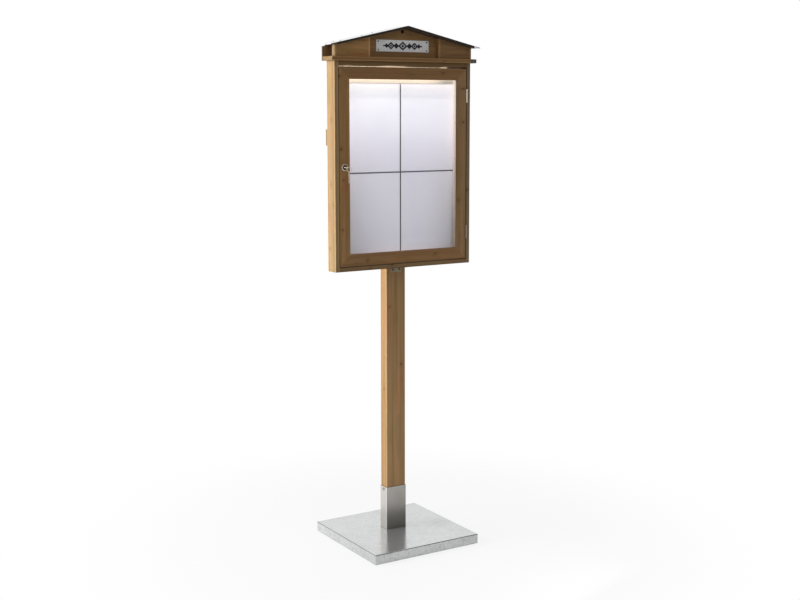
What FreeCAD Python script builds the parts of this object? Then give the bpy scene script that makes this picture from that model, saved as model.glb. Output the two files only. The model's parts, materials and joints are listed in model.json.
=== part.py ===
import FreeCAD
import Part
import math
import os

# A lockable notice case on a post, standing on a weighted base plate.
# Millimetres. X runs right along the front, Y to the back and Z up.
# The origin is on the floor, under the middle of the base.

# Base
base_side = 400.0
base_height = 34.0
base_sheet = 2.0
base_fold_radius = 2.5
base_lip = 14.0
skirt_lift = 1.5
ballast_clearance = 1.0
foot_radius = 15.0
foot_inset = 50.0
foot_chamfer = 0.5

# Post and its sleeve
post_width = 73.0
post_depth = 39.0
post_front_y = 0.5
post_above_batten = 11.0
post_edge_radius = 2.0
sleeve_height = 146.0
sleeve_wall = 1.6
sleeve_clearance = 0.3
sleeve_inner_corner = 0.9
sleeve_screw_drop = 9.0

# Sheets on show, two across and two down
sheet_width = 210.0
sheet_height = 297.0
sheet_thickness = 0.3
sheet_gap = 2.5
divider_cap = 1.0
divider_lap = 0.75
divider_end_gap = 0.5

# Case round the sheets
case_bottom_z = 936.0
case_back_y = -5.0
case_board = 14.0
case_edge_radius = 1.2
sheet_cover = 7.75
equipment_space = 14.7
back_thickness = 6.0
back_rebate = 7.0
dowel_radius = 4.0
dowel_length = 30.0
dowel_inset = 13.0

# Board that the sheets lie on
menu_board_thickness = 3.0
menu_board_margin = 2.0
menu_board_rise = 5.5
batten_strip_width = 20.0

# Door
door_gap = 1.5
door_top_gap = 3.5
door_thickness = 20.0
door_member = 39.0
door_edge_radius = 1.5
glass_thickness = 3.0
glass_setback = 8.0
glass_rebate = 7.0
glass_clearance = 0.5
bead_clearance = 0.2
stop_width = 8.0
stop_depth = 8.0
stop_clearance = 0.3
stop_lock_space = 35.0

# Hinges
hinge_inset = 90.0
hinge_height = 43.0
hinge_leaf_gap = 0.1
hinge_leaf_depth = 17.0
hinge_knuckle_radius = 3.0
hinge_pin_radius = 1.25
hinge_running_clearance = 0.05
hinge_face_clearance = 0.2
hinge_knuckle_gap = 0.3
hinge_button_radius = 2.2
hinge_button_height = 1.0
hinge_screw_spread = 26.0

# Cam lock
bezel_rim = 3.5
bezel_thickness = 3.0
lock_radius = 8.0
lock_hole_clearance = 0.2
lock_nut_wall = 1.5
lock_nut_clearance = 0.1
lock_nut_thickness = 3.0
plug_radius = 5.0
plug_flange_radius = 6.5
plug_flange_thickness = 1.5
plug_running_clearance = 0.05
plug_end_clearance = 0.1
cam_gap = 0.2
cam_thickness = 2.0
cam_width = 10.0
cam_wall_gap = 3.5
cam_corner = 2.5
cam_shoulder = 1.75
cam_screw_radius = 1.9
cam_screw_head_radius = 4.5
cam_screw_head = 2.0
cam_screw_length = 6.2
strike_thickness = 1.5
strike_leg = 1.2
strike_height = 30.0
strike_nut_gap = 2.5
strike_depth = 20.0
strike_gap = 0.5
strike_corner = 1.4

# Keys and their ring
key_thickness = 2.0
key_blade_width = 6.0
key_blade_length = 18.0
key_stem_width = 8.0
key_tip_corner = 1.6
key_notch_pitch = 2.9
key_notch_depths = (0.8, 1.3, 0.8, 1.3)
key_bow_radius = 9.0
key_bow_centre = 12.0
key_hole_radius = 2.75
key_hole_offset = 4.0
key_front_gap = 0.3
keyway_clearance = 0.15
ring_wire_radius = 0.6
ring_inner_radius = 7.0
ring_seat_gap = 0.15
ring_turn_deg = 30.0

# Batten behind the case and the bracket under it
batten_rise = 401.0
batten_height = 52.0
batten_thickness = 10.0
batten_end_setback = 1.0
batten_edge_radius = 1.5
hanging_screw_places = (60.0, 150.0)
bracket_width = 40.0
bracket_drop = 21.0
bracket_front_setback = 10.0
bracket_thickness = 1.5
bracket_corner = 1.4
bracket_hole_spread = 25.0
bracket_post_hole_drop = 12.0
bracket_case_hole_reach = 30.5

# Ledge, gable and roof
ledge_side_overhang = 14.5
ledge_front_overhang = 14.5
ledge_back_setback = 2.0
ledge_thickness = 13.0
ledge_edge_radius = 1.5
gable_side_proud = 1.0
gable_front_proud = 3.6
gable_board = 15.0
gable_edge_radius = 2.0
gable_window_half = 129.5
gable_panel_thickness = 9.0
gable_panel_overlap = 20.0
gable_centre_height = 93.0
gable_hole_radius = 6.5
gable_hole_edge = 2.5
roof_slope_deg = 12.6
roof_back_board = 6.0
deck_thickness = 6.0
roof_sheet = 1.0
roof_hem = 8.0
roof_front_overhang = 20.5
roof_back_overhang = 8.0
roof_lip = 2.0
roof_side_overhang = 22.0

# Name plate
sign_width = 198.0
sign_height = 37.0
sign_thickness = 1.2
sign_top_gap = 14.9
sign_corner = 1.5
sign_screw_inset_x = 7.0
sign_screw_inset_z = 5.0

# Light
led_end_gap = 1.0
led_wall = 1.2
led_flange = 1.5
led_drop = 11.5
led_front_gap = 1.2
led_sheet_gap = 0.3
led_air_gap = 0.3
led_flange_back_gap = 3.0
diffuser_thickness = 1.5
led_board_height = 12.0
led_board_thickness = 1.0
led_board_drop = 17.0
led_board_end = 5.0
led_chip_pitch = 20.0
led_chip_side = 4.0
led_chip_height = 0.5
driver_width = 60.0
driver_clearance = 2.7
driver_edge_radius = 2.0
driver_height = 150.0
driver_x = 70.0
driver_rise = 50.0
inlet_nut_clearance = 0.55
inlet_nut_step = 1.3
inlet_nut_thickness = 2.5
inlet_flange_step = 2.5
inlet_flange = 2.0
inlet_rise = 8.0
inlet_wall = 2.3
inlet_socket_depth = 11.0
inlet_contact_radius = 1.0
supply_lead_radius = 2.0
led_lead_radius = 1.5
lead_hole_clearance = 0.4

# Screws, each with its radius and length
sleeve_screw = (2.5, 25.0)
bracket_screw_radius = 2.0
batten_screw_radius = 2.5
hanging_screw_radius = 2.0
panel_screw = (1.5, 18.0)
panel_screw_end = 60.0
panel_screw_x = 120.0
strike_screw_radius = 1.5
hinge_screw = (1.4, 10.0)
sign_screw_radius = 1.2
roof_screw = (1.4, 20.0)
screw_hole_clearance = 0.05

# Widths and heights of the case, from its sheets and its door
sheets_half_width = sheet_width + sheet_gap / 2
door_half_width = sheets_half_width - sheet_cover + door_member
inner_half_width = door_half_width + door_gap
case_half_width = inner_half_width + case_board
case_floor_z = case_bottom_z + case_board
sheets_top_z = case_floor_z + 2 * sheet_height + sheet_gap
case_ceiling_z = sheets_top_z + door_member + door_top_gap
case_top_z = case_ceiling_z + case_board
door_bottom_z = case_floor_z + door_gap
door_top_z = case_ceiling_z - door_top_gap
opening_half_width = door_half_width - door_member
opening_bottom_z = door_bottom_z + door_member
opening_top_z = door_top_z - door_member

# Depths of the case, from its back panel forward to its door
panel_front_y = case_back_y - back_thickness
board_back_y = panel_front_y - equipment_space
board_front_y = board_back_y - menu_board_thickness
sheets_front_y = board_front_y - sheet_thickness
led_plate_back_y = sheets_front_y - led_sheet_gap
led_plate_front_y = led_plate_back_y - led_wall
led_board_front_y = led_plate_front_y - led_board_thickness
diffuser_back_y = led_board_front_y - led_chip_height - led_air_gap
led_front_y = diffuser_back_y - diffuser_thickness
door_back_y = led_front_y - led_front_gap
case_front_y = door_back_y - door_thickness
glass_front_y = case_front_y + glass_setback
glass_back_y = glass_front_y + glass_thickness

# Hinges
hinge_leaf = (door_gap - hinge_leaf_gap) / 2
hinge_x = (door_half_width + inner_half_width) / 2
hinge_y = case_front_y - hinge_knuckle_radius - hinge_face_clearance
hinge_heights = {
    "upper": door_top_z - hinge_inset,
    "lower": door_bottom_z + hinge_inset,
}

# Lock
bezel_radius = lock_radius + bezel_rim
lock_x = -door_half_width + door_member / 2
lock_z = (case_bottom_z + case_top_z) / 2
lock_front_y = case_front_y - bezel_thickness
lock_back_y = door_back_y + lock_nut_thickness
cam_front_y = lock_back_y + cam_gap
cam_back_y = cam_front_y + cam_thickness
cam_length = inner_half_width + lock_x - cam_wall_gap
strike_reach = inner_half_width + lock_x - lock_radius - lock_nut_wall - strike_nut_gap
cam_square = 2 * (plug_radius - cam_shoulder)
keyway_end_y = lock_front_y + key_blade_length + key_front_gap

# Post, batten and bracket
post_centre_y = post_front_y + post_depth / 2
batten_bottom_z = case_bottom_z + batten_rise
batten_top_z = batten_bottom_z + batten_height
batten_back_y = case_back_y + batten_thickness
post_top_z = batten_top_z + post_above_batten
sleeve_top_z = base_height + sleeve_height
bracket_reach = post_front_y - case_front_y - bracket_front_setback

# Ledge, gable and roof
ledge_half_width = case_half_width + ledge_side_overhang
ledge_front_y = case_front_y - ledge_front_overhang
ledge_back_y = case_back_y - ledge_back_setback
ledge_top_z = case_top_z + ledge_thickness
gable_half_width = case_half_width + gable_side_proud
gable_front_y = case_front_y - gable_front_proud
gable_back_y = gable_front_y + gable_board
deck_ridge_z = ledge_top_z + gable_centre_height
gable_hole_z = deck_ridge_z - gable_hole_radius - gable_hole_edge
slope = math.radians(roof_slope_deg)
back_board_y = ledge_back_y + roof_back_board
sheet_front_y = gable_front_y - roof_front_overhang
sheet_back_y = back_board_y + roof_back_overhang
deck_front_y = sheet_front_y + roof_lip
deck_back_y = sheet_back_y - roof_lip
sign_top_z = deck_ridge_z - sign_width / 2 * math.tan(slope) - sign_top_gap
sign_front_y = gable_back_y - sign_thickness

# Light and its supply
led_half_length = inner_half_width - stop_width - led_end_gap
led_bottom_z = opening_top_z - led_drop
led_lip_z = led_bottom_z - led_wall
led_board_z = case_ceiling_z - led_board_drop - led_board_height
led_lead_z = led_board_z + led_board_height / 2
driver_front_y = board_back_y + driver_clearance
driver_bottom_z = case_floor_z + driver_rise
driver_top_z = driver_bottom_z + driver_height
lead_y = (board_back_y + panel_front_y) / 2
inlet_nut_radius = equipment_space / 2 - inlet_nut_clearance
inlet_radius = inlet_nut_radius - inlet_nut_step
inlet_low_z = case_bottom_z - inlet_flange
inlet_top_z = case_floor_z + inlet_rise

along_x = FreeCAD.Vector(1, 0, 0)
along_y = FreeCAD.Vector(0, 1, 0)
upright = FreeCAD.Vector(0, 0, 1)


def vector(x, y, z):
    return FreeCAD.Vector(x, y, z)


def box(x0, x1, y0, y1, z0, z1):
    return Part.makeBox(x1 - x0, y1 - y0, z1 - z0, vector(x0, y0, z0))


def rod(start, end, radius):
    along = end - start
    return Part.makeCylinder(radius, along.Length, start, along)


def prism(points_xz, y0, y1):
    """A flat outline in X and Z, pushed from y0 to y1."""
    corners = [vector(x, y0, z) for x, z in points_xz]
    face = Part.Face(Part.makePolygon(corners + corners[:1]))
    return face.extrude(vector(0, y1 - y0, 0))


def edges_at(shape, axis, value):
    """The edges whose middle lies at one value of x, y or z."""
    return [edge for edge in shape.Edges if abs(getattr(edge.CenterOfMass, axis) - value) < 1e-6]


def eased(shape, radius, direction, edges=None):
    """The shape with its straight edges along one direction rounded: all of them, or those given."""
    chosen = []
    for edge in shape.Edges if edges is None else edges:
        along = edge.Vertexes[-1].Point - edge.Vertexes[0].Point
        if along.Length > 1e-6 and along.cross(direction).Length < 1e-6 * along.Length:
            chosen.append(edge)
    return shape.makeFillet(radius, chosen)


def across(middle, reach):
    """The two ends of a stretch that reaches as far to each side of its middle."""
    return middle - reach, middle + reach


def between(side, near, far):
    """Lower and higher X of a stretch on one side, which starts near the middle and ends further out."""
    return min(side * near, side * far), max(side * near, side * far)


def countersunk_screw(seat, direction, radius, length, spare=0.0):
    """A flat-headed wood screw. spare makes it the tool that cuts its hole."""
    head_radius = 1.9 * radius + spare
    head_depth = 0.9 * radius + spare
    way = vector(*direction).normalize()
    head = Part.makeCone(head_radius, radius + spare, head_depth, seat, way)
    shank = rod(seat, seat + way * (length + spare), radius + spare)
    screw = head.fuse(shank).removeSplitter()
    if spare:
        return screw
    return screw.cut(drive_slot(seat, way, head_radius, 0.4 * head_depth))


def pan_screw(seat, direction, radius, length, spare=0.0):
    """A screw whose round head stands on the seat. The tool leaves the head out."""
    way = vector(*direction).normalize()
    shank = rod(seat, seat + way * (length + spare), radius + spare)
    if spare:
        return shank
    head_radius = 1.9 * radius
    head_height = 1.1 * radius
    top = seat - way * head_height
    head = rod(top, seat, head_radius)
    rim = [edge for edge in head.Edges if (edge.CenterOfMass - top).Length < 1e-6]
    head = head.makeFillet(0.5 * head_height, rim)
    screw = head.fuse(shank).removeSplitter()
    return screw.cut(drive_slot(top, way, 0.8 * head_radius, 0.4 * head_height))


def drive_slot(centre, way, reach, depth):
    """Two crossed slots for a driver, cut into a screw's head."""
    width = 0.36 * reach
    bars = []
    for length, breadth in ((1.4 * reach, width), (width, 1.4 * reach)):
        bar = Part.makeBox(length, breadth, 2 * depth, vector(-length / 2, -breadth / 2, -depth))
        bars.append(bar)
    cross = bars[0].fuse(bars[1])
    cross.Placement = FreeCAD.Placement(centre, FreeCAD.Rotation(vector(0, 0, 1), way))
    return cross


def without(shape, tools):
    """The shape with every tool cut away, as one clean solid."""
    return shape.cut(Part.makeCompound(tools)).removeSplitter()


def roof_under_z(x):
    """Height of the deck's underside at x."""
    return deck_ridge_z - abs(x) * math.tan(slope)


def save(node, *shapes):
    """Write one node from its separate solids."""
    solids = []
    for shape in shapes:
        solids.extend(shape.Solids)
    for solid in solids:
        if not solid.isValid() or solid.Volume <= 0:
            raise ValueError("bad solid in " + node)
    whole = Part.makeCompound(solids) if len(solids) > 1 else solids[0]
    whole.exportStep("parts/" + node + ".step")


# Every screw, named by what it holds: a list of maker, seat, direction, radius and length.

def screw_solids(screws):
    return [make(vector(*seat), way, radius, length) for make, seat, way, radius, length in screws]


def screw_tools(screws):
    tools = []
    for make, seat, way, radius, length in screws:
        tools.append(make(vector(*seat), way, radius, length, screw_hole_clearance))
    return tools


def sleeve_screws():
    outer = post_width / 2 + sleeve_clearance + sleeve_wall
    z = sleeve_top_z - sleeve_screw_drop
    return [(pan_screw, (side * outer, post_centre_y, z), (-side, 0, 0), *sleeve_screw) for side in (-1, 1)]


def bracket_screws():
    """Two go back into the post, and two go up into the case's bottom."""
    screws = []
    post_z = case_bottom_z - bracket_post_hole_drop
    case_y = post_front_y - bracket_case_hole_reach
    for x in across(0, bracket_hole_spread / 2):
        seat = (x, post_front_y - bracket_thickness, post_z)
        screws.append((pan_screw, seat, (0, 1, 0), bracket_screw_radius, 0.65 * post_depth))
        seat = (x, case_y, case_bottom_z - bracket_thickness)
        screws.append((pan_screw, seat, (0, 0, 1), bracket_screw_radius, 0.8 * case_board))
    return screws


def batten_to_post_screws():
    screws = []
    length = batten_thickness + 0.6 * post_depth
    for x in across(0, post_width / 4):
        for z in across(batten_bottom_z + batten_height / 2, batten_height / 4):
            screws.append((countersunk_screw, (x, case_back_y, z), (0, 1, 0), batten_screw_radius, length))
    return screws


def case_to_batten_screws():
    screws = []
    length = back_thickness + 0.8 * batten_thickness
    for place in hanging_screw_places:
        for x in across(0, place):
            seat = (x, panel_front_y, batten_bottom_z + batten_height / 2)
            screws.append((pan_screw, seat, (0, 1, 0), hanging_screw_radius, length))
    return screws


def back_panel_screws():
    places = []
    middle_z = (case_floor_z + case_ceiling_z) / 2
    for x in across(0, inner_half_width + back_rebate / 2):
        for z in (case_floor_z + panel_screw_end, middle_z, case_ceiling_z - panel_screw_end):
            places.append((x, case_back_y, z))
    for x in across(0, panel_screw_x):
        for z in across(middle_z, (case_ceiling_z - case_floor_z + back_rebate) / 2):
            places.append((x, case_back_y, z))
    return [(countersunk_screw, seat, (0, -1, 0), *panel_screw) for seat in places]


def strike_screws():
    seat_x = -inner_half_width + strike_leg
    y = door_back_y + strike_gap + 0.7 * strike_depth
    screws = []
    for z in across(lock_z, 0.3 * strike_height):
        screws.append((pan_screw, (seat_x, y, z), (-1, 0, 0), strike_screw_radius, 0.65 * case_board))
    return screws


def hinge_screws(towards):
    """Screws of both hinges into the case, towards=1, or into the door, towards=-1."""
    leaf_face = inner_half_width - hinge_leaf if towards > 0 else door_half_width + hinge_leaf
    y = case_front_y + 0.65 * hinge_leaf_depth
    screws = []
    for middle_z in hinge_heights.values():
        for z in across(middle_z, hinge_screw_spread / 2):
            screws.append((countersunk_screw, (leaf_face, y, z), (towards, 0, 0), *hinge_screw))
    return screws


def sign_screws():
    screws = []
    length = 0.9 * gable_panel_thickness
    for x in across(0, sign_width / 2 - sign_screw_inset_x):
        for z in across(sign_top_z - sign_height / 2, sign_height / 2 - sign_screw_inset_z):
            screws.append((pan_screw, (x, sign_front_y, z), (0, 1, 0), sign_screw_radius, length))
    return screws


def roof_screws():
    screws = []
    rise = (deck_thickness + roof_sheet) / math.cos(slope)
    front_y = (gable_front_y + gable_back_y) / 2
    back_y = (ledge_back_y + back_board_y) / 2
    reach = gable_half_width - gable_window_half
    places = [
        (gable_window_half + 0.2 * reach, front_y),
        (gable_window_half + 0.8 * reach, front_y),
        (0.35 * gable_half_width, back_y),
        (gable_window_half + 0.8 * reach, back_y),
    ]
    for x, y in places:
        for side in (-1, 1):
            seat = (side * x, y, roof_under_z(x) + rise)
            way = (-side * math.sin(slope), 0, -math.cos(slope))
            screws.append((pan_screw, seat, way, *roof_screw))
    return screws


# Base and post

def base_cover():
    half = base_side / 2
    outer = box(-half, half, -half, half, skirt_lift, base_height)
    outer = eased(outer, base_fold_radius, upright)
    outer = outer.makeFillet(base_fold_radius, edges_at(outer, "z", base_height))
    inside = half - base_sheet
    room_floor = skirt_lift + base_sheet
    room = box(-inside, inside, -inside, inside, room_floor, base_height - base_sheet)
    mouth = half - base_lip
    return outer.cut(room).cut(box(-mouth, mouth, -mouth, mouth, 0, room_floor + 1))


def base_ballast():
    half = base_side / 2 - base_sheet - ballast_clearance
    return box(-half, half, -half, half, skirt_lift + base_sheet, base_height - base_sheet)


def base_feet():
    place = base_side / 2 - foot_inset
    feet = []
    for x in (-place, place):
        for y in (-place, place):
            foot = rod(vector(x, y, 0), vector(x, y, skirt_lift + base_sheet), foot_radius)
            feet.append(foot.makeChamfer(foot_chamfer, edges_at(foot, "z", 0)))
    return feet


def post_sleeve():
    half_x = post_width / 2 + sleeve_clearance
    half_y = post_depth / 2 + sleeve_clearance
    tubes = []
    for wall in (sleeve_wall, 0):
        x0, x1 = across(0, half_x + wall)
        y0, y1 = across(post_centre_y, half_y + wall)
        block = box(x0, x1, y0, y1, base_height, sleeve_top_z)
        tubes.append(eased(block, sleeve_inner_corner + wall, upright))
    return without(tubes[0].cut(tubes[1]), screw_tools(sleeve_screws()))


def post():
    half = post_width / 2
    back_y = post_front_y + post_depth
    timber = box(-half, half, post_front_y, back_y, base_height, post_top_z)
    timber = eased(timber, post_edge_radius, upright)
    housing = box(-half, half, post_front_y - 1, batten_back_y, batten_bottom_z, batten_top_z)
    tools = [housing] + screw_tools(sleeve_screws() + bracket_screws() + batten_to_post_screws())
    return without(timber, tools)


def support_bracket():
    half = bracket_width / 2
    low_z = case_bottom_z - bracket_drop
    far_y = post_front_y - bracket_reach
    on_post = box(-half, half, post_front_y - bracket_thickness, post_front_y, low_z, case_bottom_z)
    under_case = box(-half, half, far_y, post_front_y, case_bottom_z - bracket_thickness, case_bottom_z)
    angle = on_post.fuse(under_case).removeSplitter()
    angle = eased(angle, bracket_corner, along_y, edges_at(angle, "z", low_z))
    angle = eased(angle, bracket_corner, upright, edges_at(angle, "y", far_y))
    return without(angle, screw_tools(bracket_screws()))


def back_batten():
    half = case_half_width - batten_end_setback
    rail = box(-half, half, case_back_y, batten_back_y, batten_bottom_z, batten_top_z)
    rail = eased(rail, batten_edge_radius, along_x, edges_at(rail, "y", batten_back_y))
    return without(rail, screw_tools(batten_to_post_screws() + case_to_batten_screws()))


# Case

def back_panel_room(back_y):
    """The room that the back panel takes in the boards' rebates, as deep as back_y."""
    half = inner_half_width + back_rebate
    low, high = case_floor_z - back_rebate, case_ceiling_z + back_rebate
    return box(-half, half, panel_front_y, back_y, low, high)


def case_dowels(spare=0.0):
    dowels = []
    start = inner_half_width + case_board / 2 + spare
    for side in (-1, 1):
        for z in (case_bottom_z + case_board / 2, case_top_z - case_board / 2):
            for y in (case_front_y + dowel_inset, panel_front_y - dowel_inset):
                near = vector(side * start, y, z)
                far = vector(side * (start - dowel_length - 2 * spare), y, z)
                dowels.append(rod(near, far, dowel_radius + spare))
    return dowels


def case_tools():
    """Everything that is cut out of the case's boards."""
    screws = back_panel_screws() + strike_screws() + hinge_screws(1) + bracket_screws()
    inlet_hole = on_lead(case_bottom_z, case_floor_z, inlet_radius + screw_hole_clearance)
    rebate = back_panel_room(case_back_y + 1)
    return [rebate, inlet_hole] + case_dowels(screw_hole_clearance) + screw_tools(screws)


def case_side(side):
    x0, x1 = between(side, inner_half_width, case_half_width)
    board = box(x0, x1, case_front_y, case_back_y, case_bottom_z, case_top_z)
    outside = edges_at(board, "x", side * case_half_width)
    return without(eased(board, case_edge_radius, upright, outside), case_tools())


def case_bottom():
    board = box(-inner_half_width, inner_half_width, case_front_y, case_back_y, case_bottom_z, case_floor_z)
    outside = edges_at(board, "z", case_bottom_z)
    return without(eased(board, case_edge_radius, along_x, outside), case_tools())


def case_top():
    board = box(-inner_half_width, inner_half_width, case_front_y, case_back_y, case_ceiling_z, case_top_z)
    outside = edges_at(board, "y", case_front_y)
    return without(eased(board, case_edge_radius, along_x, outside), case_tools())


def back_panel():
    screws = back_panel_screws() + case_to_batten_screws()
    return without(back_panel_room(case_back_y), screw_tools(screws))


def board_battens():
    edge = sheets_half_width + menu_board_margin
    top_z = sheets_top_z + menu_board_rise
    strips = []
    for side in (-1, 1):
        x0, x1 = between(side, edge - batten_strip_width, edge)
        strips.append(box(x0, x1, board_back_y, panel_front_y, case_floor_z, top_z))
    return strips


def menu_board():
    half = sheets_half_width + menu_board_margin
    return box(-half, half, board_front_y, board_back_y, case_floor_z, sheets_top_z + menu_board_rise)


def menu_sheets():
    sheets = []
    for side in (-1, 1):
        for row in (0, 1):
            x0, x1 = between(side, sheet_gap / 2, sheets_half_width)
            low = case_floor_z + row * (sheet_height + sheet_gap)
            sheets.append(box(x0, x1, sheets_front_y, board_front_y, low, low + sheet_height))
    return sheets


def sheet_dividers():
    """Strips that lap over the sheets' inner edges. A rib on the back of each fills the joint."""
    front_y = sheets_front_y - divider_cap
    half_rib = sheet_gap / 2
    half_cap = half_rib + divider_lap
    low = case_floor_z + sheet_height
    high = low + sheet_gap
    top = led_lip_z - divider_end_gap
    rib = box(-sheets_half_width, sheets_half_width, sheets_front_y, board_front_y, low, high)
    cap_z = (low - divider_lap, high + divider_lap)
    cap = box(-sheets_half_width, sheets_half_width, front_y, sheets_front_y, *cap_z)
    strips = [rib.fuse(cap).removeSplitter()]
    for rib_z, cap_z in (
        ((case_floor_z, low), (case_floor_z, low - divider_lap)),
        ((high, top), (high + divider_lap, top)),
    ):
        rib = box(-half_rib, half_rib, sheets_front_y, board_front_y, *rib_z)
        cap = box(-half_cap, half_cap, front_y, sheets_front_y, *cap_z)
        strips.append(rib.fuse(cap).removeSplitter())
    return strips


def door_stops():
    """Two strips on the left side board, which leave room for the cam between them."""
    front_y = door_back_y + stop_clearance
    back_y = front_y + stop_depth
    x0, x1 = -inner_half_width, -inner_half_width + stop_width
    under_lock, over_lock = across(lock_z, stop_lock_space)
    lower = box(x0, x1, front_y, back_y, case_floor_z, under_lock)
    upper = box(x0, x1, front_y, back_y, over_lock, case_ceiling_z)
    return [lower, upper]


# Light

def led_profile():
    flange_back_y = panel_front_y - led_flange_back_gap
    flange_z = case_ceiling_z - led_flange
    x0, x1 = across(0, led_half_length)
    plate = box(x0, x1, led_plate_front_y, led_plate_back_y, led_lip_z, case_ceiling_z)
    lip = box(x0, x1, led_front_y, led_plate_back_y, led_lip_z, led_bottom_z)
    flange = box(x0, x1, led_front_y, flange_back_y, flange_z, case_ceiling_z)
    lead_start = vector(driver_x, led_plate_front_y - 1, led_lead_z)
    lead_end = vector(driver_x, led_plate_back_y + 1, led_lead_z)
    hole = rod(lead_start, lead_end, led_lead_radius + lead_hole_clearance)
    return plate.fuse(lip).fuse(flange).removeSplitter().cut(hole)


def led_board():
    half = led_half_length - led_board_end
    top_z = led_board_z + led_board_height
    board = box(-half, half, led_board_front_y, led_plate_front_y, led_board_z, top_z)
    chips = []
    count = int(2 * half / led_chip_pitch)
    chip_front_y = led_board_front_y - led_chip_height
    z0, z1 = across(led_lead_z, led_chip_side / 2)
    for index in range(count):
        x0, x1 = across((index - (count - 1) / 2) * led_chip_pitch, led_chip_side / 2)
        chips.append(box(x0, x1, chip_front_y, led_board_front_y, z0, z1))
    return board.multiFuse(chips).removeSplitter()


def led_diffuser():
    top_z = case_ceiling_z - led_flange
    return box(-led_half_length, led_half_length, led_front_y, diffuser_back_y, led_bottom_z, top_z)


def led_driver():
    x0, x1 = across(driver_x, driver_width / 2)
    body = box(x0, x1, driver_front_y, panel_front_y, driver_bottom_z, driver_top_z)
    return eased(body, driver_edge_radius, upright, edges_at(body, "y", driver_front_y))


def on_lead(low, high, radius):
    """A rod on the line that the lead takes up from the inlet."""
    return rod(vector(driver_x, lead_y, low), vector(driver_x, lead_y, high), radius)


def power_inlet():
    flange = on_lead(inlet_low_z, case_bottom_z, inlet_radius + inlet_flange_step)
    barrel = on_lead(inlet_low_z, inlet_top_z, inlet_radius)
    nut = on_lead(case_floor_z, case_floor_z + inlet_nut_thickness, inlet_nut_radius)
    socket_end = inlet_low_z + inlet_socket_depth
    socket = on_lead(inlet_low_z, socket_end, inlet_radius - inlet_wall)
    contact = on_lead(inlet_low_z + 0.5, socket_end, inlet_contact_radius)
    return flange.fuse(barrel).fuse(nut).removeSplitter().cut(socket).fuse(contact).removeSplitter()


def internal_leads():
    """The lead from the inlet to the driver, and the one from the driver to the light."""
    supply = on_lead(inlet_top_z, driver_bottom_z, supply_lead_radius)
    start = vector(driver_x, lead_y, driver_top_z)
    end = vector(driver_x, led_plate_front_y, led_lead_z)
    bend = 0.6 * (lead_y - led_plate_front_y)
    before = vector(driver_x, lead_y, led_lead_z - bend)
    after = vector(driver_x, lead_y - bend, led_lead_z)
    centre = vector(driver_x, lead_y - bend, led_lead_z - bend)
    middle = centre + (along_y + upright) * (bend * math.sqrt(0.5))
    path = Part.Wire([
        Part.LineSegment(start, before).toShape(),
        Part.Arc(before, middle, after).toShape(),
        Part.LineSegment(after, end).toShape(),
    ])
    section = Part.Wire(Part.Circle(start, upright, led_lead_radius).toShape())
    return [supply, path.makePipeShell([section], True, False)]


# Door

def frame_members(half, low, high, width, y0, y1):
    """Four mitred members of a frame: left, right, top and bottom."""
    inner_half, inner_low, inner_high = half - width, low + width, high - width
    outlines = {
        "left": [(-half, low), (-inner_half, inner_low), (-inner_half, inner_high), (-half, high)],
        "right": [(half, low), (half, high), (inner_half, inner_high), (inner_half, inner_low)],
        "top": [(-half, high), (-inner_half, inner_high), (inner_half, inner_high), (half, high)],
        "bottom": [(-half, low), (half, low), (inner_half, inner_low), (-inner_half, inner_low)],
    }
    return {name: prism(points, y0, y1) for name, points in outlines.items()}


def rebate_room(clearance):
    """Half width, bottom and top of what lies in the door's rebate with this clearance round it."""
    reach = glass_rebate - clearance
    return opening_half_width + reach, opening_bottom_z - reach, opening_top_z + reach


def door_frame():
    front_y, back_y = case_front_y, door_back_y
    members = frame_members(door_half_width, door_bottom_z, door_top_z, door_member, front_y, back_y)
    half, low, high = rebate_room(0)
    rebate = box(-half, half, glass_front_y, back_y + 1, low, high)
    lock_hole = lock_rod(front_y, back_y, lock_radius + lock_hole_clearance)
    tools = [rebate, lock_hole] + screw_tools(hinge_screws(-1))
    finished = {}
    for name, member in members.items():
        direction = upright if name in ("left", "right") else along_x
        member = eased(member, door_edge_radius, direction, edges_at(member, "y", front_y))
        finished[name] = without(member, tools)
    return finished


def door_glass():
    half, low, high = rebate_room(glass_clearance)
    return box(-half, half, glass_front_y, glass_back_y, low, high)


def glazing_beads():
    half, low, high = rebate_room(bead_clearance)
    width = glass_rebate - bead_clearance
    return list(frame_members(half, low, high, width, glass_back_y, door_back_y).values())


# Hinges

def on_hinge_axis(low, high, radius):
    return rod(vector(hinge_x, hinge_y, low), vector(hinge_x, hinge_y, high), radius)


def hinge_leaf_shape(z, towards):
    """One leaf and its knuckles: the case's, towards=1, or the door's, towards=-1."""
    wall = inner_half_width if towards > 0 else door_half_width
    x0, x1 = sorted((wall, wall - towards * hinge_leaf))
    low, high = across(z, hinge_height / 2)
    plate = box(x0, x1, hinge_y, case_front_y + hinge_leaf_depth, low, high)
    middle_low, middle_high = across(z, hinge_height / 6)
    half_gap = hinge_knuckle_gap / 2
    outer = [(low, middle_low - half_gap), (middle_high + half_gap, high)]
    centre = [(middle_low + half_gap, middle_high - half_gap)]
    own, other = (outer, centre) if towards > 0 else (centre, outer)
    room_radius = hinge_knuckle_radius + hinge_face_clearance
    for bottom, top in other:
        plate = plate.cut(on_hinge_axis(bottom - hinge_knuckle_gap, top + hinge_knuckle_gap, room_radius))
    for bottom, top in own:
        plate = plate.fuse(on_hinge_axis(bottom, top, hinge_knuckle_radius))
    bore = on_hinge_axis(low - 1, high + 1, hinge_pin_radius + hinge_running_clearance)
    return without(plate.removeSplitter(), [bore] + screw_tools(hinge_screws(towards)))


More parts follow.
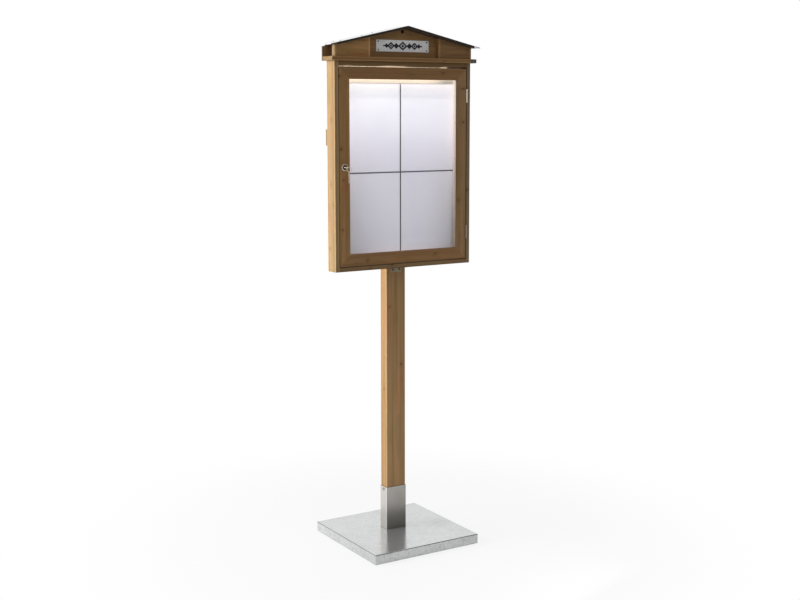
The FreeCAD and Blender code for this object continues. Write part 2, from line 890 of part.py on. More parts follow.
def hinge_pin(z):
    low, high = across(z, hinge_height / 2)
    pin = on_hinge_axis(low, high, hinge_pin_radius)
    for end_z, rim_z in ((low, low - hinge_button_height), (high, high + hinge_button_height)):
        button = on_hinge_axis(end_z, rim_z, hinge_button_radius)
        pin = pin.fuse(button.makeFillet(0.6 * hinge_button_height, edges_at(button, "z", rim_z)))
    return pin.removeSplitter()


# Lock and keys

def on_lock_axis(y):
    return vector(lock_x, y, lock_z)


def lock_rod(front_y, back_y, radius):
    return rod(on_lock_axis(front_y), on_lock_axis(back_y), radius)


def lock_body():
    bezel = lock_rod(lock_front_y, case_front_y, bezel_radius)
    bezel = bezel.makeFillet(0.5 * bezel_thickness, edges_at(bezel, "y", lock_front_y))
    barrel = lock_rod(case_front_y, lock_back_y, lock_radius)
    seat_y = lock_front_y + plug_flange_thickness + plug_end_clearance
    bore = lock_rod(lock_front_y - 1, lock_back_y + 1, plug_radius + plug_running_clearance)
    seat = lock_rod(lock_front_y - 1, seat_y, plug_flange_radius + plug_running_clearance)
    return bezel.fuse(barrel).removeSplitter().cut(bore).cut(seat)


def lock_nut():
    corner = (lock_radius + lock_nut_wall) / math.cos(math.pi / 6)
    points = []
    for index in range(6):
        angle = math.pi / 6 + index * math.pi / 3
        points.append((lock_x + corner * math.cos(angle), lock_z + corner * math.sin(angle)))
    nut = prism(points, door_back_y, lock_back_y)
    return nut.cut(lock_rod(door_back_y - 1, lock_back_y + 1, lock_radius + lock_nut_clearance))


def lock_bar(width, height, front_y, back_y):
    """A square-edged bar along the lock's axis."""
    x0, x1 = across(lock_x, width / 2)
    z0, z1 = across(lock_z, height / 2)
    return box(x0, x1, front_y, back_y, z0, z1)


def lock_plug():
    flange_end = lock_front_y + plug_flange_thickness
    plug = lock_rod(lock_front_y, flange_end, plug_flange_radius)
    plug = plug.fuse(lock_rod(flange_end, cam_front_y, plug_radius))
    plug = plug.fuse(lock_bar(cam_square, cam_square, cam_front_y, cam_back_y))
    keyway_width = key_blade_width + 2 * keyway_clearance
    keyway_height = key_thickness + 2 * keyway_clearance
    keyway = lock_bar(keyway_width, keyway_height, lock_front_y - 1, keyway_end_y)
    thread_end_y = cam_back_y - cam_screw_length - keyway_clearance
    thread = lock_rod(cam_back_y + 1, thread_end_y, cam_screw_radius + screw_hole_clearance)
    return plug.removeSplitter().cut(keyway).cut(thread)


def lock_cam():
    """The cam hangs on the plug's square and points up while the lock is open."""
    half = cam_width / 2
    top_z = lock_z + cam_length
    arm = box(lock_x - half, lock_x + half, cam_front_y, cam_back_y, lock_z, top_z)
    arm = eased(arm, cam_corner, along_y, edges_at(arm, "z", top_z))
    arm = arm.fuse(lock_rod(cam_front_y, cam_back_y, half)).removeSplitter()
    hole_width = cam_square + 2 * screw_hole_clearance
    return arm.cut(lock_bar(hole_width, hole_width, cam_front_y - 1, cam_back_y + 1))


def cam_screw():
    head_y = cam_back_y + cam_screw_head
    head = lock_rod(cam_back_y, head_y, cam_screw_head_radius)
    head = head.makeFillet(0.3 * cam_screw_head, edges_at(head, "y", head_y))
    shank = lock_rod(cam_back_y, cam_back_y - cam_screw_length, cam_screw_radius)
    screw = head.fuse(shank).removeSplitter()
    reach, depth = 0.8 * cam_screw_head_radius, 0.4 * cam_screw_head
    return screw.cut(drive_slot(on_lock_axis(head_y), -along_y, reach, depth))


def strike_plate():
    wall = -inner_half_width
    front_y = door_back_y + strike_gap
    low, high = across(lock_z, strike_height / 2)
    leg = box(wall, wall + strike_leg, front_y, front_y + strike_depth, low, high)
    flange = box(wall, wall + strike_reach, front_y, front_y + strike_thickness, low, high)
    plate = leg.fuse(flange).removeSplitter()
    plate = eased(plate, strike_corner, along_y, edges_at(plate, "x", wall + strike_reach))
    return without(plate, screw_tools(strike_screws()))


def key_shape():
    """A key lying flat: its shoulder at the origin, its blade along +Y and its bow along -Y."""
    half_t = key_thickness / 2
    blade_half = key_blade_width / 2
    stem_half = key_stem_width / 2
    bow_centre = vector(0, -key_bow_centre, 0)
    blade = box(-blade_half, blade_half, 0, key_blade_length, -half_t, half_t)
    blade = eased(blade, key_tip_corner, upright, edges_at(blade, "y", key_blade_length))
    for index, depth in enumerate(key_notch_depths):
        root_y = key_blade_length - (index + 1) * key_notch_pitch
        corners = [
            vector(blade_half - depth, root_y, -key_thickness),
            vector(blade_half + 1, root_y - depth - 1, -key_thickness),
            vector(blade_half + 1, root_y + depth + 1, -key_thickness),
        ]
        notch = Part.Face(Part.makePolygon(corners + corners[:1]))
        blade = blade.cut(notch.extrude(upright * (2 * key_thickness)))
    stem = box(-stem_half, stem_half, -key_bow_centre, 0, -half_t, half_t)
    bow = rod(bow_centre - upright * half_t, bow_centre + upright * half_t, key_bow_radius)
    hole_centre = bow_centre - along_y * key_hole_offset
    through = upright * key_thickness
    hole = rod(hole_centre - through, hole_centre + through, key_hole_radius)
    return blade.fuse(stem).fuse(bow).removeSplitter().cut(hole)


def ring_direction():
    """Level direction from the key's hole across the part of the bow that the ring goes round."""
    turn = math.radians(ring_turn_deg)
    return vector(math.cos(turn), -math.sin(turn), 0)


def bow_web():
    """Half the width of the bow between its hole and its edge, along the ring's direction."""
    sideways = -ring_direction().y * key_hole_offset
    edge = -sideways + math.sqrt(sideways ** 2 + key_bow_radius ** 2 - key_hole_offset ** 2)
    return (edge - key_hole_radius) / 2


def key_shoulder():
    return vector(lock_x, lock_front_y - key_front_gap, lock_z)


def ring_centre():
    hole = key_shoulder() - vector(0, key_bow_centre + key_hole_offset, 0)
    web = bow_web()
    seat = hole + ring_direction() * (key_hole_radius + web)
    drop = math.sqrt(ring_inner_radius ** 2 - web ** 2) - ring_seat_gap
    return seat + vector(0, 0, key_thickness / 2 - drop)


def key():
    shape = key_shape()
    shape.translate(key_shoulder())
    return shape


def key_ring():
    normal = ring_direction().cross(upright)
    return Part.makeTorus(ring_inner_radius + ring_wire_radius, ring_wire_radius, ring_centre(), normal)


def spare_key():
    """The second key hangs on the bottom of the ring, square to it."""
    shape = key_shape()
    flat = ring_direction()
    down = -upright
    side = down.cross(flat)
    wire = ring_centre() + down * (ring_inner_radius + ring_wire_radius)
    hole_rest = wire + upright * (ring_wire_radius + ring_seat_gap - key_hole_radius)
    shoulder = hole_rest + down * (key_bow_centre + key_hole_offset)
    turn = FreeCAD.Matrix(side.x, down.x, flat.x, shoulder.x,
                          side.y, down.y, flat.y, shoulder.y,
                          side.z, down.z, flat.z, shoulder.z,
                          0, 0, 0, 1)
    shape.Placement = FreeCAD.Placement(turn)
    return shape


# Ledge, gable and roof

def ledge_board():
    board = box(-ledge_half_width, ledge_half_width, ledge_front_y, ledge_back_y, case_top_z, ledge_top_z)
    return eased(board, ledge_edge_radius, along_x, edges_at(board, "y", ledge_front_y))


def gable_side(side):
    inner, outer = side * gable_window_half, side * gable_half_width
    points = [
        (inner, ledge_top_z),
        (outer, ledge_top_z),
        (outer, roof_under_z(outer)),
        (inner, roof_under_z(inner)),
    ]
    board = prism(points, gable_front_y, gable_back_y)
    board = eased(board, gable_edge_radius, upright, edges_at(board, "y", gable_front_y))
    return without(board, screw_tools(roof_screws()))


def gable_outline(half, low):
    """A gable from its foot at this height up to the underside of the roof."""
    eaves_z = roof_under_z(half)
    return [(-half, low), (half, low), (half, eaves_z), (0, deck_ridge_z), (-half, eaves_z)]


def gable_panel():
    outline = gable_outline(gable_window_half + gable_panel_overlap, ledge_top_z)
    back_y = gable_back_y + gable_panel_thickness
    hole_start = vector(0, gable_back_y - 1, gable_hole_z)
    hole_end = vector(0, back_y + 1, gable_hole_z)
    hole = rod(hole_start, hole_end, gable_hole_radius)
    return without(prism(outline, gable_back_y, back_y), [hole] + screw_tools(sign_screws()))


def roof_board_at_back():
    outline = gable_outline(ledge_half_width, case_top_z)
    return without(prism(outline, ledge_back_y, back_board_y), screw_tools(roof_screws()))


def roof_deck(side):
    rise = deck_thickness / math.cos(slope)
    outer = side * gable_half_width
    low = roof_under_z(outer)
    points = [(0, deck_ridge_z), (outer, low), (outer, low + rise), (0, deck_ridge_z + rise)]
    return without(prism(points, deck_front_y, deck_back_y), screw_tools(roof_screws()))


def roof_metal():
    """A sheet folded at the ridge, with its side edges hemmed back under themselves."""
    lift = deck_thickness / math.cos(slope)
    rise = roof_sheet / math.cos(slope)
    half = gable_half_width + roof_side_overhang
    inner = half - roof_hem
    edge_z, inner_z, ridge_z = (roof_under_z(x) + lift for x in (half, inner, 0))
    top = [(half, edge_z + rise), (0, ridge_z + rise), (-half, edge_z + rise)]
    sheet = prism([(-half, edge_z), (0, ridge_z), (half, edge_z)] + top, sheet_front_y, sheet_back_y)
    for side in (-1, 1):
        outer_x, inner_x = side * half, side * inner
        fold = [(outer_x, edge_z), (inner_x, inner_z), (inner_x, inner_z - rise), (outer_x, edge_z - rise)]
        sheet = sheet.fuse(prism(fold, sheet_front_y, sheet_back_y))
    return without(sheet.removeSplitter(), screw_tools(roof_screws()))


def sign_plate():
    half = sign_width / 2
    plate = box(-half, half, sign_front_y, gable_back_y, sign_top_z - sign_height, sign_top_z)
    return without(eased(plate, sign_corner, along_y), screw_tools(sign_screws()))


def main():
    os.makedirs("parts", exist_ok=True)
    save("base_cover", base_cover())
    save("base_ballast", base_ballast())
    save("base_feet", *base_feet())
    save("post_sleeve", post_sleeve())
    save("sleeve_screws", *screw_solids(sleeve_screws()))
    save("post", post())
    save("support_bracket", support_bracket())
    save("bracket_screws", *screw_solids(bracket_screws()))
    save("back_batten", back_batten())
    save("batten_screws", *screw_solids(batten_to_post_screws() + case_to_batten_screws()))
    save("case_side_left", case_side(-1))
    save("case_side_right", case_side(1))
    save("case_bottom", case_bottom())
    save("case_top", case_top())
    save("case_dowels", *case_dowels())
    save("back_panel", back_panel())
    save("case_screws", *screw_solids(back_panel_screws() + strike_screws()))
    save("board_battens", *board_battens())
    save("menu_board", menu_board())
    save("menu_sheets", *menu_sheets())
    save("sheet_dividers", *sheet_dividers())
    save("door_stops", *door_stops())
    save("led_profile", led_profile())
    save("led_board", led_board())
    save("led_diffuser", led_diffuser())
    save("led_driver", led_driver())
    save("power_inlet", power_inlet())
    save("internal_leads", *internal_leads())
    members = door_frame()
    save("door_stile_left", members["left"])
    save("door_stile_right", members["right"])
    save("door_rail_top", members["top"])
    save("door_rail_bottom", members["bottom"])
    save("door_glass", door_glass())
    save("glazing_beads", *glazing_beads())
    save("hinge_leaves_case", *[hinge_leaf_shape(z, 1) for z in hinge_heights.values()])
    save("hinge_leaves_door", *[hinge_leaf_shape(z, -1) for z in hinge_heights.values()])
    save("hinge_pins", *[hinge_pin(z) for z in hinge_heights.values()])
    save("hinge_screws_case", *screw_solids(hinge_screws(1)))
    save("hinge_screws_door", *screw_solids(hinge_screws(-1)))
    save("lock_body", lock_body())
    save("lock_nut", lock_nut())
    save("lock_plug", lock_plug())
    save("lock_cam", lock_cam())
    save("cam_screw", cam_screw())
    save("strike_plate", strike_plate())
    save("key", key())
    save("key_ring", key_ring())
    save("spare_key", spare_key())
    save("ledge_board", ledge_board())
    save("gable_board_left", gable_side(-1))
    save("gable_board_right", gable_side(1))
    save("gable_panel", gable_panel())
    save("roof_back_board", roof_board_at_back())
    save("roof_deck_left", roof_deck(-1))
    save("roof_deck_right", roof_deck(1))
    save("roof_sheet", roof_metal())
    save("roof_screws", *screw_solids(roof_screws()))
    save("sign_plate", sign_plate())
    save("sign_screws", *screw_solids(sign_screws()))


main()
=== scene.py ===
import json
import math
import random

import bpy
from bpy.props import FloatProperty, FloatVectorProperty, IntProperty, PointerProperty
from bpy.types import Operator, Panel, PropertyGroup
from mathutils import Matrix, Vector


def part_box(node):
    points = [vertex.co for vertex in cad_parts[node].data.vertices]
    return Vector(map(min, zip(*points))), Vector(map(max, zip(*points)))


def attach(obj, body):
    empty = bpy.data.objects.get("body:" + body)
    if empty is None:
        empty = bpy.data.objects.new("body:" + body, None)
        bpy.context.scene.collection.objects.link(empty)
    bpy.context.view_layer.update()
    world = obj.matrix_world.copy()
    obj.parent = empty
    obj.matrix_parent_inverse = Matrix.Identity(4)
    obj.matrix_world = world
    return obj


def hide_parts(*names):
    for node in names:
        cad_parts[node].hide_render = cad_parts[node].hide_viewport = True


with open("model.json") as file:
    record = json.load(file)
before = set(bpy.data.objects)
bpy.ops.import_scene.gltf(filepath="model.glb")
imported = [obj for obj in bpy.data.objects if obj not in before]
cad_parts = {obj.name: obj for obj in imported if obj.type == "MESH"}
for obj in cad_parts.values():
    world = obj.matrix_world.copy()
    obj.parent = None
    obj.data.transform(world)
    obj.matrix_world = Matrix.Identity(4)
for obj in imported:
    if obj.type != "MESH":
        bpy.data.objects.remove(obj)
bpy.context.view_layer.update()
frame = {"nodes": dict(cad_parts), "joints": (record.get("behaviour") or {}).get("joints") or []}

bl_info = {
    "name": "Lockable notice case",
    "version": (1, 0, 0),
    "blender": (4, 5, 0),
    "location": "View3D > Sidebar > Notice Case",
    "description": "Finishes, small pieces, stage, lamps and camera for a lit notice case on a post",
    "category": "Object",
}

NODES = frame["nodes"]
JOINTS = {joint["name"]: joint for joint in frame["joints"]}

BLACK = (0, 0, 0)
WHITE = (1, 1, 1, 1)


def colour_prop(name, description, default):
    return FloatVectorProperty(
        name=name, description=description, default=default, size=3, min=0, soft_max=1, subtype="COLOR"
    )


def number_prop(name, description, default, **limits):
    return FloatProperty(name=name, description=description, default=default, **limits)


def length_prop(name, description, default):
    return number_prop(name, description, default, min=0, precision=5, unit="LENGTH")


def factor_prop(name, description, default):
    return number_prop(name, description, default, min=0, max=1, subtype="FACTOR")


def power_prop(name, description, default):
    return number_prop(name, description, default, min=0, unit="POWER")


def angle_prop(name, description, degrees):
    return number_prop(name, description, math.radians(degrees), unit="ROTATION")


class TimberSettings(PropertyGroup):
    """Stains, grain and wear of the wood, and its painted light and shade"""

    case_colour: colour_prop("Case", "Stain of the case's boards", (0.285, 0.186, 0.086))
    door_colour: colour_prop("Door", "Stain of the door's frame", (0.268, 0.154, 0.061))
    gable_colour: colour_prop("Gable", "Stain of the ledge and gable", (0.275, 0.150, 0.055))
    post_colour: colour_prop("Post", "Stain of the post", (0.302, 0.180, 0.075))
    # The deck's near-black colour is painted shade under the roof sheet.
    deck_shade_colour: colour_prop("Roof deck", "Stain of the boards under the roof sheet", (0.032, 0.022, 0.014))
    bead_colour: colour_prop("Beads", "Bare wood of the beads that hold the glass", (0.780, 0.665, 0.540))
    panel_colour: colour_prop("Panels", "Stain of the thin boards at the back", (0.300, 0.188, 0.092))
    ring_spacing: length_prop("Ring spacing", "Distance from one growth ring to the next", 0.0034)
    knot_radius: length_prop("Knot radius", "Half width of a common knot", 0.0045)
    # The pale band along edges is partly wear and partly painted highlight.
    worn_and_lit_width: length_prop("Worn edge", "Width of the rubbed band along an edge", 0.0040)
    contrast: factor_prop("Contrast", "Difference between early and late wood", 0.34)


class MetalSettings(PropertyGroup):
    """Colours and sheen of the metal"""

    zinc_colour: colour_prop("Zinc", "Colour of the galvanised sheet", (0.640, 0.645, 0.650))
    steel_colour: colour_prop("Sleeve", "Colour of the post's sleeve", (0.490, 0.468, 0.440))
    spangle: length_prop("Spangle", "Width of one crystal of the zinc", 0.009)
    zinc_roughness: factor_prop("Zinc roughness", "Blur of what the zinc mirrors", 0.15)
    nickel_colour: colour_prop("Nickel", "Colour of the lock and keys", (0.840, 0.740, 0.600))
    hinge_colour: colour_prop("Hinges", "Colour of the hinges", (0.960, 0.850, 0.730))
    nickel_roughness: factor_prop("Nickel roughness", "Blur of what the nickel mirrors", 0.22)
    plate_colour: colour_prop("Name plate", "Colour of the brushed plate", (0.940, 0.935, 0.930))


class LightStripSettings(PropertyGroup):
    """The strip light, and the sheets that it washes"""

    strip_colour: colour_prop("Strip", "Colour of the lit diffuser", (1.000, 0.800, 0.580))
    strip_strength: number_prop("Strip strength", "Brightness of the diffuser", 1.2, min=0)
    paper_colour: colour_prop("Sheets", "Colour of the sheets on show", (0.806, 0.792, 0.858))
    # The sheets' glow is painted light: the strip's light on them, set in their emission.
    paper_glow: factor_prop("Sheet glow", "Light that the sheets send back from the strip", 1.0)
    lamp_power: power_prop("Lamp", "Watts of the lamp behind the door's top rail", 0.012)
    break_shift: number_prop("Break shift", "Moves the breaks in the light over the door", 5.0)


class SmallPieceSettings(PropertyGroup):
    """Sizes of the key ring, the keys' edges and the plate's ornament"""

    ring_steps: IntProperty(
        name="Ring steps", description="Straight steps in one turn of the key ring", default=48, min=12
    )
    edge_radius: length_prop("Key edges", "Radius on the edges of the keys", 0.00025)
    ornament_width: length_prop("Ornament width", "Width of the ornament on the plate", 0.146)
    ornament_height: length_prop("Ornament height", "Height of its middle lozenge", 0.0285)
    ornament_relief: length_prop("Ornament relief", "How far it stands off the plate", 0.0005)
    ornament_colour: colour_prop("Ornament", "Colour of the ornament", (0.016, 0.019, 0.030))


class StageSettings(PropertyGroup):
    """Floor, studio, lamps and camera"""

    floor_width: length_prop("Floor", "Width of the floor", 16.0)
    floor_colour: colour_prop("Floor colour", "Colour of the floor", (0.550, 0.550, 0.550))
    floor_white: factor_prop("Floor white", "How far the camera sees the floor as plain white", 0.85)
    front_level: factor_prop("Front level", "Brightness of the studio in front of the case", 0.20)
    key_power: power_prop("Key", "Watts of the soft lamp on the left", 213.0)
    fill_power: power_prop("Fill", "Watts of the soft lamp in front", 15.2)
    low_power: power_prop("Low fill", "Watts of the low lamp in front", 1.9)
    camera_place: FloatVectorProperty(
        name="Camera", description="Where the camera stands", default=(-2.1715, -3.5433, 1.4512), size=3,
        unit="LENGTH",
    )
    camera_yaw: angle_prop("Yaw", "Turn of the camera to the right of +Y", 31.691)
    camera_pitch: angle_prop("Pitch", "Tilt of the camera below level", 7.537)
    camera_roll: angle_prop("Roll", "Roll of the camera", -0.064)
    camera_lens: number_prop("Lens", "Focal length in millimetres", 56.65, min=1)
    camera_shift: number_prop("Shift", "Upright shift of the lens", -0.03)


class NoticeCaseSettings(PropertyGroup):
    """All the settings of the notice case"""

    timber: PointerProperty(type=TimberSettings)
    metal: PointerProperty(type=MetalSettings)
    strip: PointerProperty(type=LightStripSettings)
    small: PointerProperty(type=SmallPieceSettings)
    stage: PointerProperty(type=StageSettings)


def settings():
    return bpy.context.scene.notice_case


# Shader nodes

class Wire:
    """One output of a node. Python's operators on it add Math nodes."""

    def __init__(self, nodes, socket):
        self.nodes = nodes
        self.socket = socket

    def __add__(self, other):
        return self.nodes.maths("ADD", self, other)

    def __radd__(self, other):
        return self.nodes.maths("ADD", other, self)

    def __sub__(self, other):
        return self.nodes.maths("SUBTRACT", self, other)

    def __rsub__(self, other):
        return self.nodes.maths("SUBTRACT", other, self)

    def __mul__(self, other):
        return self.nodes.maths("MULTIPLY", self, other)

    def __rmul__(self, other):
        return self.nodes.maths("MULTIPLY", other, self)

    def __truediv__(self, other):
        return self.nodes.maths("DIVIDE", self, other)

    def __pow__(self, other):
        return self.nodes.maths("POWER", self, other)

    def __abs__(self):
        return self.nodes.maths("ABSOLUTE", self)


class Nodes:
    """The node tree of a material or of the world."""

    def __init__(self, tree):
        self.tree = tree
        tree.nodes.clear()

    def node(self, kind, setup=None, sockets=None, output=0):
        """Add a node with its settings, such as a ramp's stops, and the values or wires of its sockets."""
        made = self.tree.nodes.new(kind)
        for name, value in (setup or {}).items():
            if name == "stops":
                self.set_stops(made.color_ramp, value)
            else:
                setattr(made, name, value)
        for name, value in (sockets or {}).items():
            if isinstance(value, Wire):
                self.tree.links.new(value.socket, made.inputs[name])
            else:
                made.inputs[name].default_value = value
        return Wire(self, made.outputs[output]) if made.outputs else made

    def set_stops(self, ramp, stops):
        while len(ramp.elements) < len(stops):
            ramp.elements.new(1)
        for element, (position, value) in zip(ramp.elements, stops):
            element.position = position
            element.color = (value, value, value, 1)

    def maths(self, operation, *values):
        return self.node("ShaderNodeMath", {"operation": operation}, dict(enumerate(values)))

    def distance(self, first, second):
        """How far a place is from a line, from its distances on the two axes across that line."""
        return self.maths("SQRT", first ** 2 + second ** 2)

    def ranged(self, value, low, high, low_value=0.0, high_value=1.0):
        """A value taken smoothly from one range to another, and held at its ends."""
        sockets = {
            "Value": value, "From Min": low, "From Max": high, "To Min": low_value, "To Max": high_value,
        }
        return self.node("ShaderNodeMapRange", {"interpolation_type": "SMOOTHSTEP"}, sockets)

    def ramp(self, value, stops):
        """A value read off a line through these pairs of place and strength."""
        return self.node("ShaderNodeValToRGB", {"stops": stops}, {0: value})

    def blend(self, share, first, second, kind="MIX"):
        """Mix two colours, each a wire or a plain colour."""
        sockets = {0: share, 6: solid(first), 7: solid(second)}
        return self.node("ShaderNodeMix", {"data_type": "RGBA", "blend_type": kind}, sockets, 2)

    def stretched(self, place, scale, shift=(0, 0, 0)):
        return self.node("ShaderNodeMapping", {}, {"Vector": place, "Location": shift, "Scale": scale})

    def parts(self, place):
        """The X, Y and Z of a place."""
        split = self.node("ShaderNodeSeparateXYZ", {}, {"Vector": place})
        return [Wire(self, socket) for socket in split.socket.node.outputs]


def solid(colour):
    """A colour with its alpha, or the wire that was given."""
    return colour if isinstance(colour, Wire) else (*colour, 1.0)


def scaled(colour, factor):
    return tuple(channel * factor for channel in colour)


def toned(colour, tone):
    """A colour with each channel scaled by that of a tone."""
    return tuple(channel * factor for channel, factor in zip(colour, tone))


class Finish(Nodes):
    """A material, with the place on the surface that its pattern follows."""

    # A pattern on one face of a board covers it to the first depth below it, and is gone at the second.
    SKIN, FADE = 0.0002, 0.0006

    def __init__(self, name):
        self.material = bpy.data.materials.new(name)
        self.material.use_nodes = True
        super().__init__(self.material.node_tree)
        self.place = self.node("ShaderNodeTexCoord", {}, {}, "Object")

    def noise(self, scale, detail=2.0, roughness=0.5, shift=(0, 0, 0), place=None):
        """Noise, finer along an axis with a larger scale."""
        sockets = {
            "Vector": self.stretched(place or self.place, scale, shift),
            "Scale": 1.0, "Detail": detail, "Roughness": roughness,
        }
        return self.node("ShaderNodeTexNoise", {}, sockets)

    def face(self, depth, start=0.0, fade=FADE):
        """1 on the face where depth is at its start, and 0 below it."""
        return self.ranged(depth, start + self.SKIN, start + fade, 1, 0)

    def bump(self, height, distance, strength):
        return self.node("ShaderNodeBump", {}, {"Height": height, "Distance": distance, "Strength": strength})

    def surface(self, **sockets):
        """Finish with a Principled shader. The socket names have their spaces as underscores."""
        named = {name.replace("_", " "): value for name, value in sockets.items()}
        for name in ("Base Color", "Emission Color"):
            if name in named:
                named[name] = solid(named[name])
        return self.closed(self.node("ShaderNodeBsdfPrincipled", {}, named))

    def closed(self, shader):
        self.node("ShaderNodeOutputMaterial", {}, {"Surface": shader})
        return self.material


def dress(material, *nodes):
    """Give CAD nodes this material in every slot."""
    for name in nodes:
        mesh = NODES[name].data
        if not mesh.materials:
            mesh.materials.append(material)
        for index in range(len(mesh.materials)):
            mesh.materials[index] = material


# Timber

# The turn that lays a board's grain along the pattern's Z.
GRAIN_TURNS = {"X": (0, -math.pi / 2, 0), "Z": (0, 0, 0)}

# Knots where they show: the axis that each runs along, its place on the other two, and its half widths.
KNOTS = {
    "door_stile_left": (("Y", -0.240, 1.555, 0.0050, 0.0040), ("Y", -0.235, 1.327, 0.0040, 0.0055),
                        ("Y", -0.227, 1.230, 0.0030, 0.0040), ("Y", -0.231, 1.071, 0.0030, 0.0035)),
    "door_stile_right": (("Y", 0.229, 1.519, 0.0085, 0.0030), ("Y", 0.231, 1.409, 0.0045, 0.0040),
                         ("Y", 0.214, 1.150, 0.0030, 0.0045)),
    "door_rail_top": (("Y", 0.150, 1.570, 0.0040, 0.0030),),
    "door_rail_bottom": (("Y", -0.140, 0.968, 0.0045, 0.0035), ("Y", 0.120, 0.975, 0.0035, 0.0030)),
    "case_side_left": (("X", -0.034, 1.419, 0.0035, 0.0045), ("X", -0.030, 1.216, 0.0030, 0.0040),
                       ("X", -0.041, 1.150, 0.0040, 0.0045), ("X", -0.020, 1.010, 0.0030, 0.0040)),
    "gable_board_left": (("Y", -0.152, 1.668, 0.0022, 0.0022),),
    "gable_board_right": (("Y", 0.243, 1.645, 0.0022, 0.0022),),
    "ledge_board": (("Y", 0.144, 1.607, 0.0022, 0.0022),),
    "post": (("Y", 0.020, 0.600, 0.0040, 0.0050), ("Y", -0.024, 0.800, 0.0028, 0.0035),
             ("X", 0.018, 0.520, 0.0030, 0.0042)),
}

# Where light from the strip strikes the underside of the case's top, along X, and how strongly: painted as a
# glow.
GAP_SPILL = ((-0.258, 0), (-0.215, 0), (-0.205, 0.6), (-0.194, 0), (-0.095, 0), (-0.062, 0.6), (-0.048, 1.0),
             (-0.032, 0.6), (0.004, 0.5), (0.020, 0), (0.150, 0), (0.160, 1.0), (0.172, 0))

# The depths, along Y, between which the gap round the door's frame ends, the light's spill under the case's
# top ends, and the stile's rounded front edge turns into its inner face.
GAP_END = (-0.0365, -0.0355)
SPILL_END = (-0.0352, -0.0350)
STILE_ROUND = (-0.0518, -0.0502)

# The strip's light on the door's inner faces, painted as a glow: the heights between which it grows, its
# strengths, its colour.
WASH_HEIGHTS = (0.98, 1.56)
WASH_STRENGTHS = (0.02, 0.44)
WASH_COLOUR = (1.00, 0.89, 0.83)


def chance_knots(node, along, seed, count):
    """A few knots by chance, for a board that has none listed."""
    draw = random.Random(seed)
    low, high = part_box(node)
    radius = settings().timber.knot_radius
    wide, tall = (radius, radius * 1.3) if along == "Z" else (radius * 1.3, radius)
    knots = []
    for _ in range(count):
        x, _, z = (draw.uniform(low[axis], high[axis]) for axis in range(3))
        knots.append(("Y", x, z, wide * draw.uniform(0.6, 1.1), tall * draw.uniform(0.6, 1.1)))
    return knots


def knot_masks(finish, world, knots):
    """Where the knots' cores lie, and how far the grain bends round them. A clear board has neither."""
    cores, bends = None, None
    for runs, first, second, wide, tall in knots:
        side = (world["X" if runs == "Y" else "Y"] - first) / wide
        rise = (world["Z"] - second) / tall
        gap = finish.maths("SQRT", side * side + rise * rise)
        core = finish.ranged(gap, 0.35, 1.5, 1, 0)
        bend = finish.ranged(gap, 0.8, 4.5, 1, 0)
        cores = core if cores is None else finish.maths("MAXIMUM", cores, core)
        bends = bend if bends is None else bends + bend
    return cores, bends


def worn_and_lit_mask(finish, world, box, axes, width):
    """Where a board's edges are pale from wear and from painted highlight: along the edges at which it ends
    on both of these axes.
    """
    middle, half = (box[0] + box[1]) / 2, (box[1] - box[0]) / 2
    rubbed_and_lit = None
    for axis in axes:
        index = "XYZ".index(axis)
        away = abs(world[axis] - middle[index])
        near = finish.ranged(away, half[index] - width, half[index] - 0.3 * width)
        rubbed_and_lit = near if rubbed_and_lit is None else rubbed_and_lit * near
    return rubbed_and_lit


